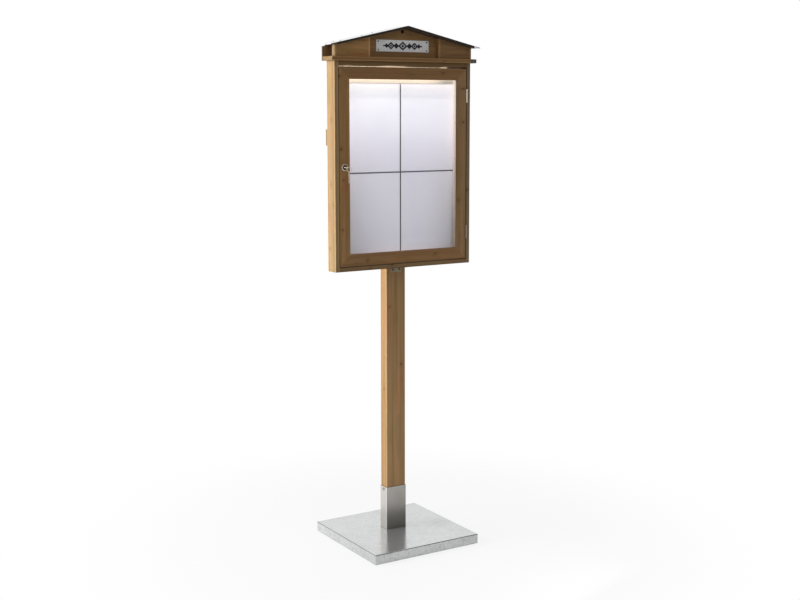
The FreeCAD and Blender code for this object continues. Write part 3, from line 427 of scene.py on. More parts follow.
def timber(node, along, colour, seed, pith=(0.012, 0.075), knots=0, worn_and_lit=None, worn_and_lit_width=1.0,
           shaded_from=None, rim=None, lit=None, shaded_foot=None, spill=None, knot_tone=(0.22, 0.22, 0.22),
           end_tone=(0.76, 0.70, 0.66)):
    """Stained softwood: rings round a pith behind the board, fibres, knots, pale edges, uneven stain, and
    painted light and shade.

    along is the axis of its grain, pith the place across the grain that its rings run round.
    knots is how many a board gets by chance if it has none listed.
    worn_and_lit is the two axes across its pale edges, worn_and_lit_width how many usual widths the pale band
    has: partly wear, partly painted highlight.
    shaded_from is the place along X from which it is grey: painted shade on the ledge's right end.
    rim is an axis and a side, 0 or 1: that face is darkened with painted shade where it lines the gap round
    the door.
    lit is the share of the strip's light that the board's inner faces send back, painted as a glow, and on a
    stile as a pale colour.
    shaded_foot is a height and a width: the wood is darkened with painted shade from that height up to that
    width above it.
    spill is places along X and strengths: light from the gap over the door on the board's underside, painted
    as a glow.
    knot_tone and end_tone are the tones of its knots and of its sawn ends.
    """
    wood = settings().timber
    low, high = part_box(node)
    finish = Finish("timber_" + node)
    centred = finish.stretched(finish.place, (1, 1, 1), tuple(-(low + high) / 2))
    turned = finish.node("ShaderNodeMapping", {}, {"Vector": centred, "Rotation": GRAIN_TURNS[along]})
    # Each board is cut from another place in the same wood.
    apart = finish.stretched(turned, (1, 1, 1), (seed * 1.37, seed * 2.11, seed * 0.73))
    world = dict(zip("XYZ", finish.parts(finish.place)))
    knot, swirl = knot_masks(finish, world, KNOTS.get(node) or chance_knots(node, along, seed, knots))

    x, y, _ = finish.parts(turned)
    wander = finish.noise((9, 9, 1.7), 2.0, place=apart)
    across = finish.distance(x - pith[0], y - pith[1]) + wander * 0.022
    if swirl is not None:
        across = across + swirl * 0.007
    ring = finish.maths("FRACT", across / wood.ring_spacing) ** 2.2
    fibre = finish.noise((760, 760, 9), 3.0, 0.6, place=apart)
    streak = finish.noise((85, 85, 1.2), 2.0, 0.55, place=apart)
    stain = finish.noise((22, 22, 6.0), 3.0, 0.6, (3, 1, 7), apart)
    patch = finish.noise((26, 26, 5.0), 2.0, 0.5, (8, 5, 2), apart)

    base = finish.blend(ring * wood.contrast, scaled(colour, 1.14), scaled(colour, 0.66))
    # Each layer of uneven stain: its pattern, the values between which it comes in, its strength, its tone.
    for pattern, start, full, strength, tone in (
        (streak, 0.35, 0.68, 0.8, (0.74, 0.69, 0.62)),
        (fibre, 0.42, 0.72, 0.4, (0.74, 0.70, 0.66)),
        (stain, 0.50, 0.72, 0.7, (1.10, 0.83, 0.80)),
        (patch, 0.52, 0.74, 0.8, (0.84, 0.88, 0.71)),
    ):
        base = finish.blend(finish.ranged(pattern, start, full) * strength, base, tone, "MULTIPLY")
    if worn_and_lit:
        # Pale edges: partly wear, partly painted highlight where the edges catch the light.
        rubbed_and_lit = worn_and_lit_mask(finish, world, (low, high), worn_and_lit, wood.worn_and_lit_width * worn_and_lit_width)
        base = finish.blend(rubbed_and_lit * (stain * 0.9 + 0.1), base, scaled(colour, 1.9))
    if swirl is not None:
        base = finish.blend(finish.maths("MINIMUM", swirl * 0.35, 1.0), base, (0.80, 0.66, 0.55), "MULTIPLY")
        base = finish.blend(knot * 0.68, base, toned(colour, knot_tone))
    if shaded_from is not None:
        # Painted shade: the ledge's end beyond the gable is grey.
        grey = finish.ranged(world["X"], shaded_from, shaded_from + 0.002) * 0.9
        base = finish.blend(grey, base, (0.11, 0.11, 0.10))
    if along == "X":
        tip = max(abs(low.x), abs(high.x))
        cut_end = finish.ranged(abs(world["X"]), tip - 0.0008, tip - 0.0003)
        base = finish.blend(cut_end, base, end_tone, "MULTIPLY")
    if shaded_foot:
        # Painted shade along the foot of the board.
        foot_shade = finish.ranged(world["Z"], shaded_foot[0], sum(shaded_foot), 0.75, 0)
        base = finish.blend(foot_shade, base, (0.34, 0.28, 0.20), "MULTIPLY")
    if rim:
        axis, side = rim
        away = abs(world[axis] - (low, high)[side]["XYZ".index(axis)])
        # Painted shade on the face that lines the gap round the door.
        gap_shade = finish.face(away) * finish.ranged(world["Y"], *GAP_END, 1, 0)
        base = finish.blend(gap_shade, base, (0.26, 0.22, 0.18), "MULTIPLY")

    glow = BLACK
    if lit is not None:
        inner = 1.0
        if rim:
            # Of a stile only the inner face is lit, and it is painted pale up to its rounded front edge:
            # painted light.
            inner = finish.face(world["X"], low.x) * finish.ranged(world["Y"], *STILE_ROUND)
            base = finish.blend(inner, base, wood.bead_colour[:])
        wash = finish.ranged(world["Z"], *WASH_HEIGHTS, *WASH_STRENGTHS) * inner * lit
        glow = finish.blend(wash, BLACK, WASH_COLOUR)
    if spill:
        # Painted light: the strip's light on the underside of the case's top, as a glow.
        stops = [((place - low.x) / (high.x - low.x), strength) for place, strength in spill]
        beam = finish.ramp((world["X"] - low.x) / (high.x - low.x), stops)
        under = finish.face(world["Z"], low.z, 0.0005)
        front = finish.ranged(world["Y"], *SPILL_END, 1, 0)
        glow = finish.blend(beam * under * front * 0.9, BLACK, settings().strip.strip_colour[:])
    return finish.surface(
        Base_Color=base, Roughness=0.52 - ring * 0.08 + fibre * 0.12, Specular_IOR_Level=0.42,
        Coat_Weight=0.08, Coat_Roughness=0.30, Emission_Color=glow, Emission_Strength=1.0,
        Normal=finish.bump(fibre * 0.6 + ring * 0.5, 0.00035, 0.6),
    )


class NOTICE_OT_timber(Operator):
    """Stain every board, each with its own cut of grain"""

    bl_idname = "notice.timber"
    bl_label = "Timber"

    def execute(self, context):
        wood = settings().timber
        case, door, gable = wood.case_colour[:], wood.door_colour[:], wood.gable_colour[:]
        post, panel, deck = wood.post_colour[:], wood.panel_colour[:], wood.deck_shade_colour[:]
        sleeve_top, case_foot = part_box("post_sleeve")[1].z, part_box("case_bottom")[0].z
        # The last word of a row is what its board has of its own.
        boards = (
            ("post", "Z", post, {"worn_and_lit": "XY", "shaded_foot": (sleeve_top, 0.0035)}),
            ("case_side_left", "Z", case, {
                "pith": (0.090, 0.012), "worn_and_lit": "XY", "rim": ("X", 1), "knot_tone": (0.60, 0.42, 0.30),
            }),
            ("case_side_right", "Z", toned(case, (0.70, 0.80, 0.95)), {
                "pith": (-0.085, 0.020), "knots": 4, "rim": ("X", 0),
            }),
            # The bottom board is toned darker: painted shade under the sheets.
            ("case_bottom", "X", toned(case, (0.64, 0.60, 0.54)), {
                "knots": 2, "rim": ("Z", 1), "shaded_foot": (case_foot, 0.0045),
            }),
            # The top board is toned darker: painted shade under the ledge.
            ("case_top", "X", toned(case, (0.62, 0.54, 0.40)), {"spill": GAP_SPILL}),
            ("door_stile_left", "Z", toned(door, (1.16, 1.12, 1.02)), {"rim": ("X", 0)}),
            ("door_stile_right", "Z", toned(door, (1.05, 1.08, 1.22)), {
                "pith": (-0.010, 0.060), "rim": ("X", 0), "lit": 0.55,
            }),
            ("door_rail_top", "X", toned(door, (0.89, 0.83, 0.78)), {}),
            ("door_rail_bottom", "X", toned(door, (0.90, 0.83, 0.78)), {"rim": ("Z", 0)}),
            ("glazing_beads", "Z", wood.bead_colour[:], {"lit": 1.0}),
            ("door_stops", "Z", case, {}),
            ("back_batten", "X", case, {"worn_and_lit": "YZ", "knots": 3}),
            ("board_battens", "Z", case, {"knots": 2}),
            ("case_dowels", "X", panel, {}),
            ("ledge_board", "X", scaled(gable, 0.85), {
                "worn_and_lit": "YZ", "shaded_from": 0.2495, "end_tone": (0.85, 0.97, 1.05),
            }),
            # The left gable board is toned lighter and the right one darker: painted light on the left and
            # painted shade on the right under the roof. The left board's sawn end is toned darker and greyer:
            # end grain and painted shade under the roof's overhang.
            ("gable_board_left", "X", scaled(gable, 1.36), {
                "worn_and_lit": "XY", "worn_and_lit_width": 2.2, "end_tone": (0.42, 0.56, 0.86),
            }),
            ("gable_board_right", "X", scaled(gable, 0.84), {
                "worn_and_lit": "XY", "worn_and_lit_width": 2.2, "pith": (0.030, 0.090),
            }),
            ("gable_panel", "X", gable, {"pith": (-0.020, 0.120)}),
            # Its sawn ends are toned near black: end grain and painted shade under the roof.
            ("roof_back_board", "X", panel, {"knots": 2, "end_tone": (0.22, 0.20, 0.18)}),
            ("back_panel", "Z", panel, {"pith": (0.030, 0.140), "knots": 3}),
            # Near black: painted shade under the roof sheet.
            ("roof_deck_left", "X", deck, {}),
            ("roof_deck_right", "X", deck, {}),
        )
        for seed, (node, along, colour, own) in enumerate(boards, 1):
            dress(timber(node, along, colour, seed, **own), node)
        return {"FINISHED"}


# Metal, plastic and rubber

def cover_scuffs_and_shade(finish, base, colour, place, top):
    """Scuffed sides below the fold round the cover's top, a dark line round the sleeve's foot, and painted
    shade just under the fold.
    """
    x, y, z = place
    scuff = finish.noise((75, 75, 110), 4.0, 0.75, (6, 2, 9))
    below = finish.ranged(z, top.z - 0.0030, top.z - 0.0020, 1, 0)
    base = finish.blend(finish.ranged(scuff, 0.52, 0.66) * below * 0.7, base, scaled(colour, 0.58))
    low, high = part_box("post_sleeve")
    middle, half = (low + high) / 2, (high - low) / 2
    aside = abs(x - middle.x) - half.x
    ahead = abs(y - middle.y) - half.y
    seam = finish.ranged(finish.maths("MAXIMUM", aside, ahead), 0.0004, 0.0022, 0.85, 0)
    base = finish.blend(seam, base, (0.070, 0.068, 0.060))
    # Painted shade: a dark line along the sides just under the fold.
    outward = finish.maths("MAXIMUM", abs(x), abs(y))
    band = finish.ranged(outward, top.x - 0.0016, top.x - 0.0006)
    band = band * finish.ranged(z, top.z - 0.0032, top.z - 0.0012)
    return finish.blend(band * 0.85, base, (0.120, 0.118, 0.112))


def sleeve_painted_light(finish, base, colour, place, low):
    """Painted light: a pale left side, a painted highlight along its front corner, and painted shade towards
    the foot elsewhere.
    """
    x, y, z = place
    # Painted light on the left side, and a painted highlight on its front corner.
    left = finish.face(x, low.x)
    corner = left * finish.ranged(y, low.y + 0.0030, low.y + 0.0042, 1, 0)
    base = finish.blend(left, base, scaled(colour, 1.42))
    base = finish.blend(corner, base, (0.97, 0.96, 0.94))
    # Painted shade towards the foot.
    lower_shade = finish.ranged(z, low.z, low.z + 0.095, 0.45, 0) * (1 - left)
    return finish.blend(lower_shade, base, (0.40, 0.39, 0.36), "MULTIPLY")


def zinc(name, colour, size, roughness, spangle=1.0, metallic=1.0, shaded_before=None, cover_top=None,
         sleeve_low=None):
    """Zinc on steel: crystals a little lighter or darker than each other, clouds, and fine marks.

    size is how many times the usual width the crystals have, spangle how strongly they show.
    shaded_before is the place along Y in front of which the sheet is near black: painted shade along its
    front hem.
    cover_top is the highest corner of the base's cover, sleeve_low the lowest corner of the post's sleeve.
    """
    finish = Finish("zinc_" + name)
    place = finish.parts(finish.place)
    fine = 1 / (settings().metal.spangle * size)
    bent = finish.noise((60, 60, 60), 2.0)
    fine_place = finish.stretched(finish.place, (fine, fine, fine))
    shifted = finish.node("ShaderNodeVectorMath", {"operation": "ADD"}, {0: fine_place, 1: bent})
    tone = finish.node("ShaderNodeTexVoronoi", {}, {"Vector": shifted, "Scale": 1.0}, 1)
    crystal = finish.parts(tone)[0]
    cloud = finish.noise((9, 9, 9), 4.0, 0.6, (2, 4, 1))
    mark = finish.noise((55, 160, 120), 3.0, 0.7, (5, 3, 8))
    uneven = crystal * 0.30 * spangle + finish.ranged(cloud, 0.4, 0.75) * 0.35
    base = finish.blend(uneven, colour, scaled(colour, 0.80))
    base = finish.blend(finish.ranged(mark, 0.60, 0.72) * 0.30 * spangle, base, scaled(colour, 0.62))
    if shaded_before:
        # Painted shade along the sheet's front hem.
        hem_shade = finish.ranged(place[1], shaded_before, shaded_before + 0.002, 1, 0) * 0.9
        base = finish.blend(hem_shade, base, (0.030, 0.023, 0.017))
    if cover_top:
        base = cover_scuffs_and_shade(finish, base, colour, place, cover_top)
    if sleeve_low:
        base = sleeve_painted_light(finish, base, colour, place, sleeve_low)
    return finish.surface(
        Base_Color=base, Metallic=metallic,
        Roughness=roughness + crystal * 0.05 * spangle + finish.ranged(cloud, 0.45, 0.8) * 0.10,
        Normal=finish.bump(crystal + cloud * 2, 0.00003, 0.25 * spangle),
    )


def plated(name, colour, roughness, wear=0.5, metallic=1.0, dull_within=None, shaded_below=None):
    """Plated metal with faint clouds and fine rub marks.

    It is dull within a distance from the lock's axis, and darker below a height: painted shade.
    """
    finish = Finish("plated_" + name)
    cloud = finish.noise((130, 130, 130), 3.0)
    rub = finish.noise((900, 900, 160), 3.0, 0.7, (1, 6, 3))
    base = finish.blend(finish.ranged(cloud, 0.45, 0.75) * wear, colour, scaled(colour, 0.62))
    if dull_within:
        x, _, z = finish.parts(finish.place)
        centre = JOINTS["lock_turn"]["pos_m"]
        radius = finish.distance(x - centre[0], z - centre[2])
        dull = finish.ranged(radius, dull_within, dull_within + 0.0006, 1, 0)
        base = finish.blend(dull, base, (0.16, 0.11, 0.07))
    if shaded_below:
        # Painted shade: darker below that height.
        height = finish.parts(finish.place)[2]
        dull = finish.ranged(height, shaded_below, shaded_below + 0.05, 1, 0)
        base = finish.blend(dull, base, (0.38, 0.36, 0.33), "MULTIPLY")
    scratched = finish.ranged(rub, 0.45, 0.75) * 0.18 * wear
    return finish.surface(
        Base_Color=base, Metallic=metallic, Roughness=roughness + scratched,
        Normal=finish.bump(rub, 0.00002, 0.4),
    )


def brushed(name, colour, metallic=0.85):
    """Sheet metal brushed along X."""
    finish = Finish("brushed_" + name)
    line = finish.noise((25, 1400, 1400), 3.0, 0.6)
    cloud = finish.noise((22, 22, 30), 3.0, shift=(4, 4, 4))
    base = finish.blend(finish.ranged(line, 0.35, 0.7) * 0.6, colour, scaled(colour, 0.72))
    base = finish.blend(finish.ranged(cloud, 0.5, 0.75) * 0.5, base, scaled(colour, 0.78))
    return finish.surface(
        Base_Color=base, Metallic=metallic, Roughness=0.34 + line * 0.14,
        Normal=finish.bump(line, 0.00003, 0.5),
    )


def moulded(name, colour, roughness, grain=900.0):
    """Moulded plastic or rubber with a fine grain and slight dust."""
    finish = Finish("moulded_" + name)
    pore = finish.noise((grain, grain, grain), 2.0)
    dust = finish.noise((35, 35, 35), 3.0, shift=(2, 2, 2))
    dusty = tuple(channel * 0.8 + 0.03 for channel in colour)
    base = finish.blend(finish.ranged(dust, 0.5, 0.8) * 0.35, colour, dusty)
    return finish.surface(
        Base_Color=base, Roughness=roughness + dust * 0.12, Normal=finish.bump(pore, 0.00005, 0.35)
    )


class NOTICE_OT_metal(Operator):
    """Zinc, nickel, bright screws and the brushed plate"""

    bl_idname = "notice.metal"
    bl_label = "Metal"

    def execute(self, context):
        metal = settings().metal
        cover_top, sleeve_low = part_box("base_cover")[1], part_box("post_sleeve")[0]
        roof_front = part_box("roof_sheet")[0].y
        cover = zinc("base", metal.zinc_colour[:], 1.0, metal.zinc_roughness, 1.4, 0.82, cover_top=cover_top)
        sleeve = zinc("sleeve", metal.steel_colour[:], 1.2, 0.28, 0.05, sleeve_low=sleeve_low)
        roof = zinc("roof", (0.90, 0.90, 0.90), 1.6, 0.34, metallic=0.7, shaded_before=roof_front + 0.0004)
        bright = plated("bright_zinc", (0.62, 0.62, 0.60), 0.30)
        hinge = plated(
            "satin_nickel", metal.hinge_colour[:], metal.nickel_roughness + 0.12, metallic=0.30,
            shaded_below=JOINTS["door_swing"]["pos_m"][2],
        )
        lock = plated(
            "lock_nickel", metal.nickel_colour[:], metal.nickel_roughness, 0.35, 0.7, dull_within=0.0078
        )
        for material, *nodes in (
            (cover, "base_cover"),
            (sleeve, "post_sleeve"),
            (roof, "roof_sheet"),
            (bright, "strike_plate", "sleeve_screws", "batten_screws"),
            (bright, "case_screws", "roof_screws", "cam_screw"),
            (plated("dull_zinc", (0.340, 0.285, 0.190), 0.50, metallic=0.4), "support_bracket"),
            (plated("dark_zinc", (0.150, 0.120, 0.080), 0.50, metallic=0.5), "bracket_screws"),
            (hinge, "hinge_leaves_case", "hinge_leaves_door", "hinge_pins"),
            (hinge, "hinge_screws_case", "hinge_screws_door"),
            (lock, "lock_body", "lock_nut", "lock_plug", "lock_cam"),
            (brushed("sign", metal.plate_colour[:], 0.22), "sign_plate"),
            (brushed("profile", (0.70, 0.70, 0.70)), "led_profile"),
            (plated("black_screws", (0.035, 0.035, 0.040), 0.45), "sign_screws"),
        ):
            dress(material, *nodes)
        return {"FINISHED"}


class NOTICE_OT_plastic(Operator):
    """Plastic, rubber, cast iron and the parts of the light that stay unlit"""

    bl_idname = "notice.plastic"
    bl_label = "Plastic and rubber"

    def execute(self, context):
        # The last number is the grain, where it isn't the usual fine one.
        for node, name, colour, roughness, *grain in (
            ("base_feet", "feet", (0.020, 0.020, 0.020), 0.65),
            ("base_ballast", "casting", (0.080, 0.078, 0.075), 0.75, 300.0),
            ("power_inlet", "inlet", (0.020, 0.020, 0.020), 0.40),
            ("internal_leads", "leads", (0.025, 0.025, 0.025), 0.45),
            ("led_driver", "driver", (0.750, 0.750, 0.740), 0.42),
            ("led_board", "strip_board", (0.800, 0.790, 0.700), 0.35),
            ("sheet_dividers", "dividers", (0.150, 0.150, 0.165), 0.50),
            ("menu_board", "menu_board", (0.800, 0.800, 0.805), 0.45, 500.0),
        ):
            dress(moulded(name, colour, roughness, *grain), node)
        return {"FINISHED"}


# Sheets, glass and light

# The strip's light on the sheets, painted as their glow: shares of their height, from their foot, and
# strengths.
SHEET_WASH = (
    (0.0, 0.400), (0.063, 0.360), (0.100, 0.290), (0.140, 0.240), (0.238, 0.275), (0.498, 0.352),
    (0.502, 0.357), (0.632, 0.472), (0.763, 0.625), (0.877, 0.705), (0.895, 0.690), (0.905, 0.600),
    (0.930, 0.620), (0.955, 0.610), (1.0, 0.540),
)

# Light in the gap over the door, painted on the diffuser's glow: shares of the diffuser's length, from the
# left, and half of its strengths.
GAP_LIGHT = (
    (0.0, 0.20), (0.05, 0.55), (0.20, 0.50), (0.29, 0.60), (0.39, 0.95), (0.50, 0.70), (0.57, 0.40),
    (0.61, 0.22), (0.72, 0.28), (0.79, 0.22), (0.825, 0.22), (0.848, 0.95), (0.872, 0.55), (0.885, 0.01),
)

# The heights between which the diffuser passes from behind the door's top rail to the gap over it.
DOOR_TOP = (1.5815, 1.5835)


class NOTICE_OT_sheets(Operator):
    """The sheets on show, with the strip's wash from above painted as a glow"""

    bl_idname = "notice.sheets"
    bl_label = "Sheets"

    def execute(self, context):
        light = settings().strip
        low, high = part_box("menu_sheets")
        finish = Finish("paper_sheets")
        x, _, z = finish.parts(finish.place)
        share = (z - low.z) / (high.z - low.z)
        aside = (x / high.x) ** 2
        # The wash is painted light, a glow that fades down the sheets and towards their sides, more so lower
        # down.
        wash = finish.ramp(share, SHEET_WASH) * (1 - aside * finish.ranged(share, 0.0, 0.75, 0.82, 0.06))
        cockle = finish.noise((9, 9, 5), 2.0, 0.45)
        fibre = finish.noise((1500, 1500, 1500), 2.0)
        clouds = finish.ranged(cockle, 0.42, 0.70) * 0.5
        base = finish.blend(clouds, light.paper_colour[:], (0.79, 0.80, 0.81))
        # The glow's tint is part of the painted light, pinker towards the lower sides.
        tint = finish.blend(finish.ranged(share, 0.55, 0.90), (0.925, 0.868, 1.0), (0.925, 0.905, 0.965))
        tint = finish.blend(aside * (1 - share), tint, (0.950, 0.850, 0.905))
        glow = finish.blend(wash * (0.92 + finish.ranged(cockle, 0.3, 0.7) * 0.1), BLACK, tint)
        material = finish.surface(
            Base_Color=base, Roughness=0.62, Emission_Color=glow, Emission_Strength=light.paper_glow,
            Normal=finish.bump(fibre * 0.2 + cockle * 8, 0.0005, 0.5),
        )
        dress(material, "menu_sheets")
        return {"FINISHED"}


class NOTICE_OT_glass(Operator):
    """A clear pane that mirrors a little and lets the lamps through"""

    bl_idname = "notice.glass"
    bl_label = "Glass"

    def execute(self, context):
        finish = Finish("clear_pane")
        smear = finish.ranged(finish.noise((7, 7, 4), 3.0), 0.5, 0.8)
        clear = finish.node("ShaderNodeBsdfTransparent", {}, {"Color": (0.985, 0.992, 0.990, 1)})
        mirror = finish.node(
            "ShaderNodeBsdfGlossy", {}, {"Color": (0.9, 0.9, 0.9, 1), "Roughness": 0.02 + smear * 0.05}
        )
        share = finish.node("ShaderNodeFresnel", {}, {"IOR": 1.45}) * 0.6
        pane = finish.node("ShaderNodeMixShader", {}, {0: share, 1: clear, 2: mirror})
        dress(finish.closed(pane), "door_glass")
        return {"FINISHED"}


class NOTICE_OT_light_strip(Operator):
    """The lit diffuser under the case's top, and the lamp that it stands for"""

    bl_idname = "notice.light_strip"
    bl_label = "Light strip"

    def execute(self, context):
        light = settings().strip
        low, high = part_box("led_diffuser")
        finish = Finish("lit_diffuser")
        x, _, z = finish.parts(finish.place)
        # The glow is darker on the diffuser's lower part and towards its right end: painted shade.
        depth = finish.ranged(z, low.z + 0.3 * (high.z - low.z), high.z, 0.52, 1.0)
        end = finish.ranged(x, 0.10, 0.19, 1.0, 0.16)
        uneven = finish.noise((38, 38, 8), 2.0) * 0.3 + 0.85
        # Over the door the glow is painted light and shade of the gap: brightest left of its middle, uneven,
        # and gone short of the hinges.
        over_door = finish.ranged(z, *DOOR_TOP)
        gap = finish.ramp((x - low.x) / (high.x - low.x), GAP_LIGHT) * 2.0
        breaks = finish.noise((75, 1, 1), 2.0, 0.6, (light.break_shift, 0, 0))
        broken = gap * finish.ranged(breaks, 0.32, 0.62, 0.60, 1.20)
        level = depth * uneven * (end * (1 - over_door) + broken * over_door)
        glow = finish.blend(level, BLACK, light.strip_colour[:])
        material = finish.surface(
            Base_Color=(0.85, 0.84, 0.80), Roughness=0.5, Emission_Color=glow,
            Emission_Strength=light.strip_strength,
        )
        dress(material, "led_diffuser")

        place = (0, low.y - 0.004, low.z - 0.003)
        bpy.ops.object.light_add(type="AREA", location=place, rotation=(0.5, 0, 0))
        lamp = bpy.context.object
        lamp.name = "strip_lamp"
        lamp.data.shape = "RECTANGLE"
        lamp.data.size, lamp.data.size_y = high.x - low.x, 0.008
        lamp.data.energy = light.lamp_power
        lamp.data.color = light.strip_colour
        lamp.visible_camera = False
        return {"FINISHED"}


# Modelled pieces

def start_clean():
    bpy.ops.object.select_all(action="DESELECT")


def select_only(piece):
    start_clean()
    piece.select_set(True)
    bpy.context.view_layer.objects.active = piece


def edit_all():
    """Open the active piece in edit mode, with all of it selected."""
    bpy.ops.object.mode_set(mode="EDIT")
    bpy.ops.mesh.select_all(action="SELECT")


def leave_edit():
    bpy.ops.object.mode_set(mode="OBJECT")


def settle(piece, name, body, material, smooth_angle=0.6):
    """Leave a piece at the origin with its place in its mesh, and set it to ride on its body."""
    select_only(piece)
    bpy.ops.object.transform_apply(location=True, rotation=True, scale=True)
    bpy.ops.object.shade_smooth_by_angle(angle=smooth_angle)
    piece.name = name
    piece.data.materials.clear()
    piece.data.materials.append(material)
    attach(piece, body)


def add_modifier(piece, kind, **values):
    """Add a modifier with these settings and apply it."""
    select_only(piece)
    modifier = piece.modifiers.new(kind.lower(), kind)
    for name, value in values.items():
        setattr(modifier, name, value)
    bpy.ops.object.modifier_apply(modifier=modifier.name)


def worked_copy(node):
    """A copy of a CAD node, with its loose triangles joined and its flat faces made whole."""
    piece = bpy.data.objects.new(node + "_copy", NODES[node].data.copy())
    bpy.context.collection.objects.link(piece)
    select_only(piece)
    edit_all()
    bpy.ops.mesh.remove_doubles(threshold=0.000002)
    bpy.ops.mesh.dissolve_limited(angle_limit=math.radians(0.5))
    leave_edit()
    return piece


def key_metal():
    metal = settings().metal
    return plated("key_nickel", metal.nickel_colour[:], metal.nickel_roughness + 0.10, 0.6, 0.55)


class NOTICE_OT_keys(Operator):
    """The key in the lock and the one on the ring, with their stamped edges rounded"""

    bl_idname = "notice.keys"
    bl_label = "Keys"

    def execute(self, context):
        material = key_metal()
        for node, body in (("key", "key_in_lock"), ("spare_key", "hanging_key")):
            piece = worked_copy(node)
            add_modifier(piece, "BEVEL", width=settings().small.edge_radius, segments=2, limit_method="ANGLE",
                         angle_limit=math.radians(40))
            settle(piece, "stamped_" + node, body, material)
            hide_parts(node)
        return {"FINISHED"}


class NOTICE_OT_key_ring(Operator):
    """A split ring of two turns in place of the plain one"""

    bl_idname = "notice.key_ring"
    bl_label = "Key ring"

    INNER_RADIUS = 0.0070
    TURN = 700
    TWO_TURNS = 720

    def execute(self, context):
        low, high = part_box("key_ring")
        middle = (low + high) / 2
        in_plane = Vector(JOINTS["ring_swing"]["axis"]).normalized()
        normal = in_plane.cross(Vector((0, 0, 1)))
        outer = (high.z - low.z) / 2
        wire = high.z - middle.z - self.INNER_RADIUS
        start_clean()
        bpy.ops.mesh.primitive_circle_add(vertices=12, radius=wire / 2, fill_type="NOTHING")
        piece = bpy.context.object
        edit_all()
        # The section is as wide as the CAD wire and half as thick, so two turns fill its room.
        bpy.ops.transform.rotate(value=math.pi / 2, orient_axis="X", center_override=(0, 0, 0))
        bpy.ops.transform.resize(value=(1.0, 1.0, 0.5), center_override=(0, 0, 0))
        bpy.ops.transform.translate(value=(outer - wire / 2, 0, -wire / 4))
        leave_edit()
        steps = 2 * settings().small.ring_steps
        rise = wire / 2 * self.TURN / self.TWO_TURNS
        add_modifier(piece, "SCREW", angle=math.radians(self.TURN), screw_offset=rise, axis="Z", steps=steps,
                     render_steps=steps, use_merge_vertices=True)
        bpy.ops.object.mode_set(mode="EDIT")
        bpy.ops.mesh.select_all(action="DESELECT")
        bpy.ops.mesh.select_mode(type="EDGE")
        bpy.ops.mesh.select_non_manifold(extend=False, use_wire=False, use_multi_face=False,
                                         use_non_contiguous=False, use_verts=False)
        bpy.ops.mesh.edge_face_add()
        bpy.ops.mesh.select_all(action="SELECT")
        bpy.ops.mesh.normals_make_consistent(inside=False)
        leave_edit()
        axes = Matrix((in_plane, normal.cross(in_plane), normal)).transposed()
        piece.matrix_world = Matrix.Translation(middle) @ axes.to_4x4()
        settle(piece, "split_ring", "ring", key_metal())
        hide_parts("key_ring")
        return {"FINISHED"}


def lozenge(width, height, x, hollow=0.0):
    """A flat four-cornered figure standing in the XZ plane, hollow in its middle if asked."""
    start_clean()
    bpy.ops.mesh.primitive_circle_add(vertices=4, radius=0.5, fill_type="NGON", location=(x, 0, 0),
                                      rotation=(math.pi / 2, 0, 0))
    piece = bpy.context.object
    piece.scale = (width, height, 1)
    bpy.ops.object.transform_apply(location=True, rotation=True, scale=True)
    if hollow:
        edit_all()
        bpy.ops.mesh.inset(thickness=hollow)
        bpy.ops.mesh.delete(type="FACE")
        leave_edit()
    return piece


class NOTICE_OT_ornament(Operator):
    """A plain band of lozenges on the plate"""

    bl_idname = "notice.ornament"
    bl_label = "Plate ornament"

    def execute(self, context):
        small = settings().small
        low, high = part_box("sign_plate")
        tall = small.ornament_height
        parts = [lozenge(1.25 * tall, tall, 0, 0.17 * tall), lozenge(0.42 * tall, 0.36 * tall, 0)]
        # Filled and hollow lozenges by turns, smaller towards the ends. Each has its place as a share of half
        # the band, and its width, height and rim as shares of the middle one's height.
        for place, width, height, hollow in (
            (0.340, 0.74, 0.66, 0.0), (0.610, 0.98, 0.84, 0.16), (0.610, 0.30, 0.26, 0.0),
            (0.840, 0.58, 0.52, 0.0), (0.975, 0.24, 0.22, 0.0),
        ):
            for side in (-1, 1):
                x = side * place * small.ornament_width / 2
                parts.append(lozenge(width * tall, height * tall, x, hollow * tall))
        start_clean()
        for part in parts:
            part.select_set(True)
        bpy.context.view_layer.objects.active = parts[0]
        bpy.ops.object.join()
        piece = bpy.context.object
        edit_all()
        bpy.ops.mesh.remove_doubles(threshold=0.00001)
        bpy.ops.mesh.extrude_region_move(TRANSFORM_OT_translate={"value": (0, -small.ornament_relief, 0)})
        bpy.ops.mesh.select_all(action="SELECT")
        bpy.ops.mesh.normals_make_consistent(inside=False)
        leave_edit()
        piece.location = (0, low.y, (low.z + high.z) / 2)
        settle(piece, "plate_ornament", "stand",
               moulded("ornament", small.ornament_colour[:], 0.42), 0.4)
        return {"FINISHED"}


# Stage

def soft_lamp(name, place, aim, width, height, power):
    """A soft lamp that gives no gleam of its own, so the metal mirrors the white sweep and the dim studio."""
    bpy.ops.object.light_add(type="AREA", location=place)
    lamp = bpy.context.object
    lamp.name = name
    lamp.rotation_euler = (Vector(aim) - Vector(place)).to_track_quat("-Z", "Y").to_euler()
    lamp.data.shape = "RECTANGLE"
    lamp.data.size, lamp.data.size_y = width, height
    lamp.data.energy = power
    lamp.visible_camera = False
    lamp.visible_glossy = False


def backdrop_side(nodes, x, y, low, high):
    """From 0 in front of the case to 1 behind it and on its left, where the backdrop stands."""
    return nodes.ranged(y * 0.9 - x * 0.35, low, high)


